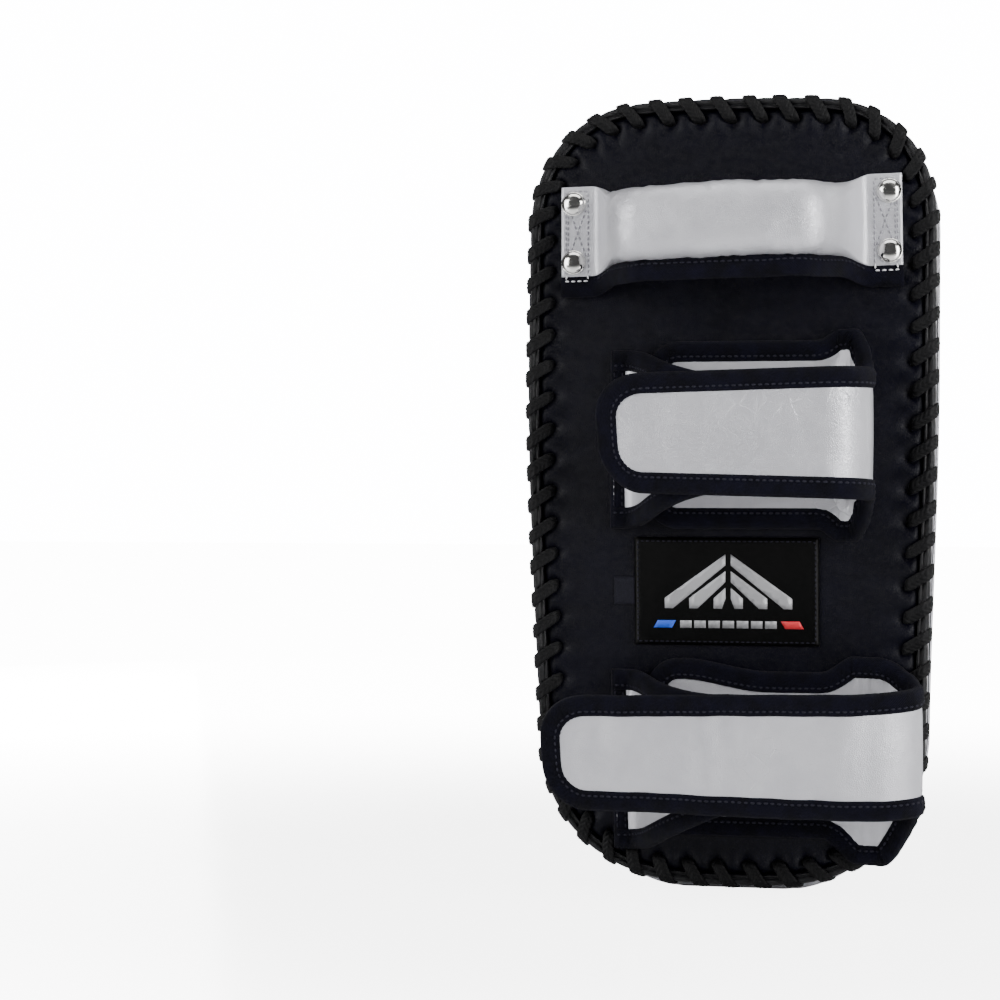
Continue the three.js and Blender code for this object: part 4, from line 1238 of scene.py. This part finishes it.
def make_handle_binding():
    """The tape that closes the cover's lower edge: it hangs below the grip and lies flat under the tabs."""
    xs = np.linspace(-TAB_OUTER - 0.3, TAB_OUTER + 0.3, 170)
    height, _, _ = grip_size(xs)
    half = [(0.5, 1.0), (1.2, -1.5), (1.75, -4.0), (1.75, -6.2), (1.3, -8.8), (0.6, -9.9)]
    profile = np.array(half + [(0, -10.2)] + [(-d, y) for d, y in reversed(half)])
    wander = 0.9 * ripple(xs[:, None], 13, 6.0) * smoothstep(TAB_INNER - np.abs(xs), -4, 12)
    pucker = 0.45 * ripple(xs[:, None], 2.6, 2.0)
    curl = 0.35 * ripple(np.stack(np.broadcast_arrays(xs[:, None], profile[None, :, 1]), -1), 6, 3.0)
    across = profile[None, :, 0] * (1 + 0.12 * pucker[:, None]) + curl - 0.2
    up = -height[:, None] + profile[None, :, 1] * (1 + 0.05 * pucker[:, None]) + wander[:, None] * 0.6
    rings = on_handle(np.repeat(xs[:, None], len(profile), 1), across, up)
    tape = skin("handle_lower_tape", rings, BINDING_TAPE, uv=(xs - xs[0], distances(profile, closed=True)))
    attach(tape, "pad")
    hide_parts("handle_binding")
    line = on_handle(xs, np.full(len(xs), 1.75), -height - 2.4 + wander * 0.6)
    inner = line[np.abs(xs) < TAB_INNER - 2]
    ends = stitch_ends(inner, 2.2, 3.2)
    sewn = threads("handle_tape_stitches", ends, [np.array((0, -1, 0))] * len(ends), 0.4, DARK_THREAD, 0.3)
    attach(sewn, "pad")


def tab_line(corners):
    """A line on a tab's face through local (x, height) corners, for stitches."""
    pts = np.array(corners, float)
    at = distances(pts)
    fine = np.linspace(0, at[-1], 80)
    x, h = (np.interp(fine, at, pts[:, k]) for k in (0, 1))
    return on_back(HANDLE_Z, x, np.full(80, TAB_DEPTH + 1.45), h, HANDLE_ROLL)


def make_tab_stitches():
    """On each tab: a box of stitches, a cross between the rivets, and white dashes into the tape below."""
    grey, white = [], []
    up = np.array(outward(HANDLE_Z))
    for side in (-1, 1):
        inner, outer, edge = side * 69.8, side * 79.8, side * 80.8
        box = [(outer, -21.4), (outer, 20.0), (inner, 20.0), (inner, -21.4)]
        grey += stitch_ends(tab_line(box), 2.0, 2.7)
        for k in (-1, 1):
            x0, x1 = side * 75.0 - k * 4.4, side * 75.0 + k * 4.4
            grey += stitch_ends(tab_line([(x0, -13.0), (x1, 11.4)]), 2.0, 2.6)
        grey += stitch_ends(tab_line([(edge, -21.4), (edge, 20.0)]), 2.0, 2.7)
        dashes = [(inner, -21.2), (inner, -24.8), (outer + side * 1.4, -24.8), (outer, -21.2)]
        white += stitch_ends(tab_line(dashes), 2.1, 3.1)
    for name, ends, material in (("tab_stitches_grey", grey, GREY_THREAD),
                                 ("tab_stitches_white", white, WHITE_THREAD)):
        sewn = threads(name, ends, [up] * len(ends), 0.42, material, 0.35)
        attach(sewn, "pad")


def make_rivets():
    """Domed caps with a rolled rim, on the places of the CAD rivets."""
    profile = [(0.02, 2.9), (1.2, 2.85), (2.4, 2.66), (3.5, 2.34), (4.4, 1.9), (5.1, 1.32), (5.5, 0.75),
               (5.62, 0.35), (5.86, 0.30), (6.02, 0.12), (6.0, -0.12), (5.6, -0.3), (0.02, -0.3)]
    up = np.array(outward(HANDLE_Z))
    across = np.array((1.0, 0.0, 0.0))
    along = np.cross(up, across)
    angles = np.linspace(0, 2 * math.pi, 56, endpoint=False)
    for x in (-RIVET_X, RIVET_X):
        for h in (-RIVET_Z - RIVET_DROP, RIVET_Z - RIVET_DROP):
            foot = on_back(HANDLE_Z, x, TAB_DEPTH + 1.55, h, HANDLE_ROLL)
            ring = np.cos(angles)[:, None] * across + np.sin(angles)[:, None] * along
            rings = np.array([foot + ring * r + up * d for r, d in profile])
            side, level = ("right" if x > 0 else "left"), ("upper" if h > 0 else "lower")
            rivet = skin(f"rivet_cap_{side}_{level}", rings, NICKEL)
            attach(rivet, "pad")
            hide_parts(f"handle_rivet_{side}_{level}")
            dress(f"handle_washer_{side}_{level}", NICKEL)


# ---- Label patch and size tag
PATCH_Z = 147.5
PATCH_X, PATCH_H = (-46, 44), (-26, 26.5)
TAG_X, TAG_H = (-56.2, -45.6), (-6.5, 7)


def back_sheet(name, x_range, h_range, lift, thickness, material, wave=0.3):
    """A thin soft label on the back panel, rounded at its edges."""
    xs, hs = np.linspace(*x_range, 60), np.linspace(*h_range, 40)
    x, h = np.meshgrid(xs, hs, indexing="ij")
    near = np.minimum.reduce([x - x_range[0], x_range[1] - x, h - h_range[0], h_range[1] - h])
    soft = ripple(np.stack([x, h], -1), 14, 4.0) * wave
    top = lift + thickness * (1 - np.exp(-near / 0.5)) + soft * smoothstep(near, 0, 4)
    outer = on_back(PATCH_Z, x, top, h)
    inner = on_back(PATCH_Z, x, np.full_like(x, lift - 0.6), h)[:, ::-1]
    made = skin(name, np.concatenate([outer, inner], 1), material)
    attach(made, "pad")
    return made


def back_mark(name, shapes, material, lift):
    plan, faces = gather(shapes)
    soft = ripple(plan, 14, 4.0) * 0.3
    points = on_back(PATCH_Z, plan[:, 0], lift + soft, plan[:, 1])
    made = new_object(name, points, faces, material)
    thicken(made, 0.5, -1)
    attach(made, "pad")


def make_patch():
    patch = back_sheet("label_patch", PATCH_X, PATCH_H, 0.9, 1.1, LABEL)
    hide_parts("rear_patch")
    tag = back_sheet("woven_size_tag", TAG_X, TAG_H, 0.5, 0.7, TAG_WEAVE, 0.15)
    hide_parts("size_tag")
    up = np.array(outward(PATCH_Z))
    border = np.array([(-44.2, -24.2), (42.2, -24.2), (42.2, 24.7), (-44.2, 24.7), (-44.2, -24.2)], float)
    at = distances(border)
    fine = np.linspace(0, at[-1], 400)
    x, h = (np.interp(fine, at, border[:, k]) for k in (0, 1))
    ends = stitch_ends(on_back(PATCH_Z, x, np.full(400, 2.05), h), 1.7, 2.6)
    sewn = threads("label_stitches", ends, [up] * len(ends), 0.32, DARK_THREAD, 0.3)
    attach(sewn, "pad")
    base, height, lift = -17.5, 3.6, 2.35
    silver = roof(((31.0, 21.0), (19.0, 12.9), (7.1, 4.8)), -8.0, 5.4)
    silver += bar_row(7, -23.5, 6.9, base, 5.6, height)
    back_mark("label_emblem_silver", silver, LABEL_SILVER, lift)
    blue = polygon_patch(slanted_bar(-36.5, base, 9.0, height, 2.0))
    back_mark("label_emblem_blue", [blue], LABEL_BLUE, lift)
    red = polygon_patch(slanted_bar(27.5, base, 9.0, height, -2.0))
    back_mark("label_emblem_red", [red], LABEL_RED, lift)


# ---- Everything
def main():
    for make in (make_camera, make_stage, make_front, make_back, make_gusset, make_piping, make_welt,
                 make_lacing, make_prints):
        make()
    for cuff in (UPPER, LOWER):
        make_cuff(cuff)
    for make in (make_handle_cover, make_handle_binding, make_tab_stitches, make_rivets, make_patch):
        make()
    for node in ("strike_foam", "core_foam", "back_foam"):
        dress(node, FOAM)


main()
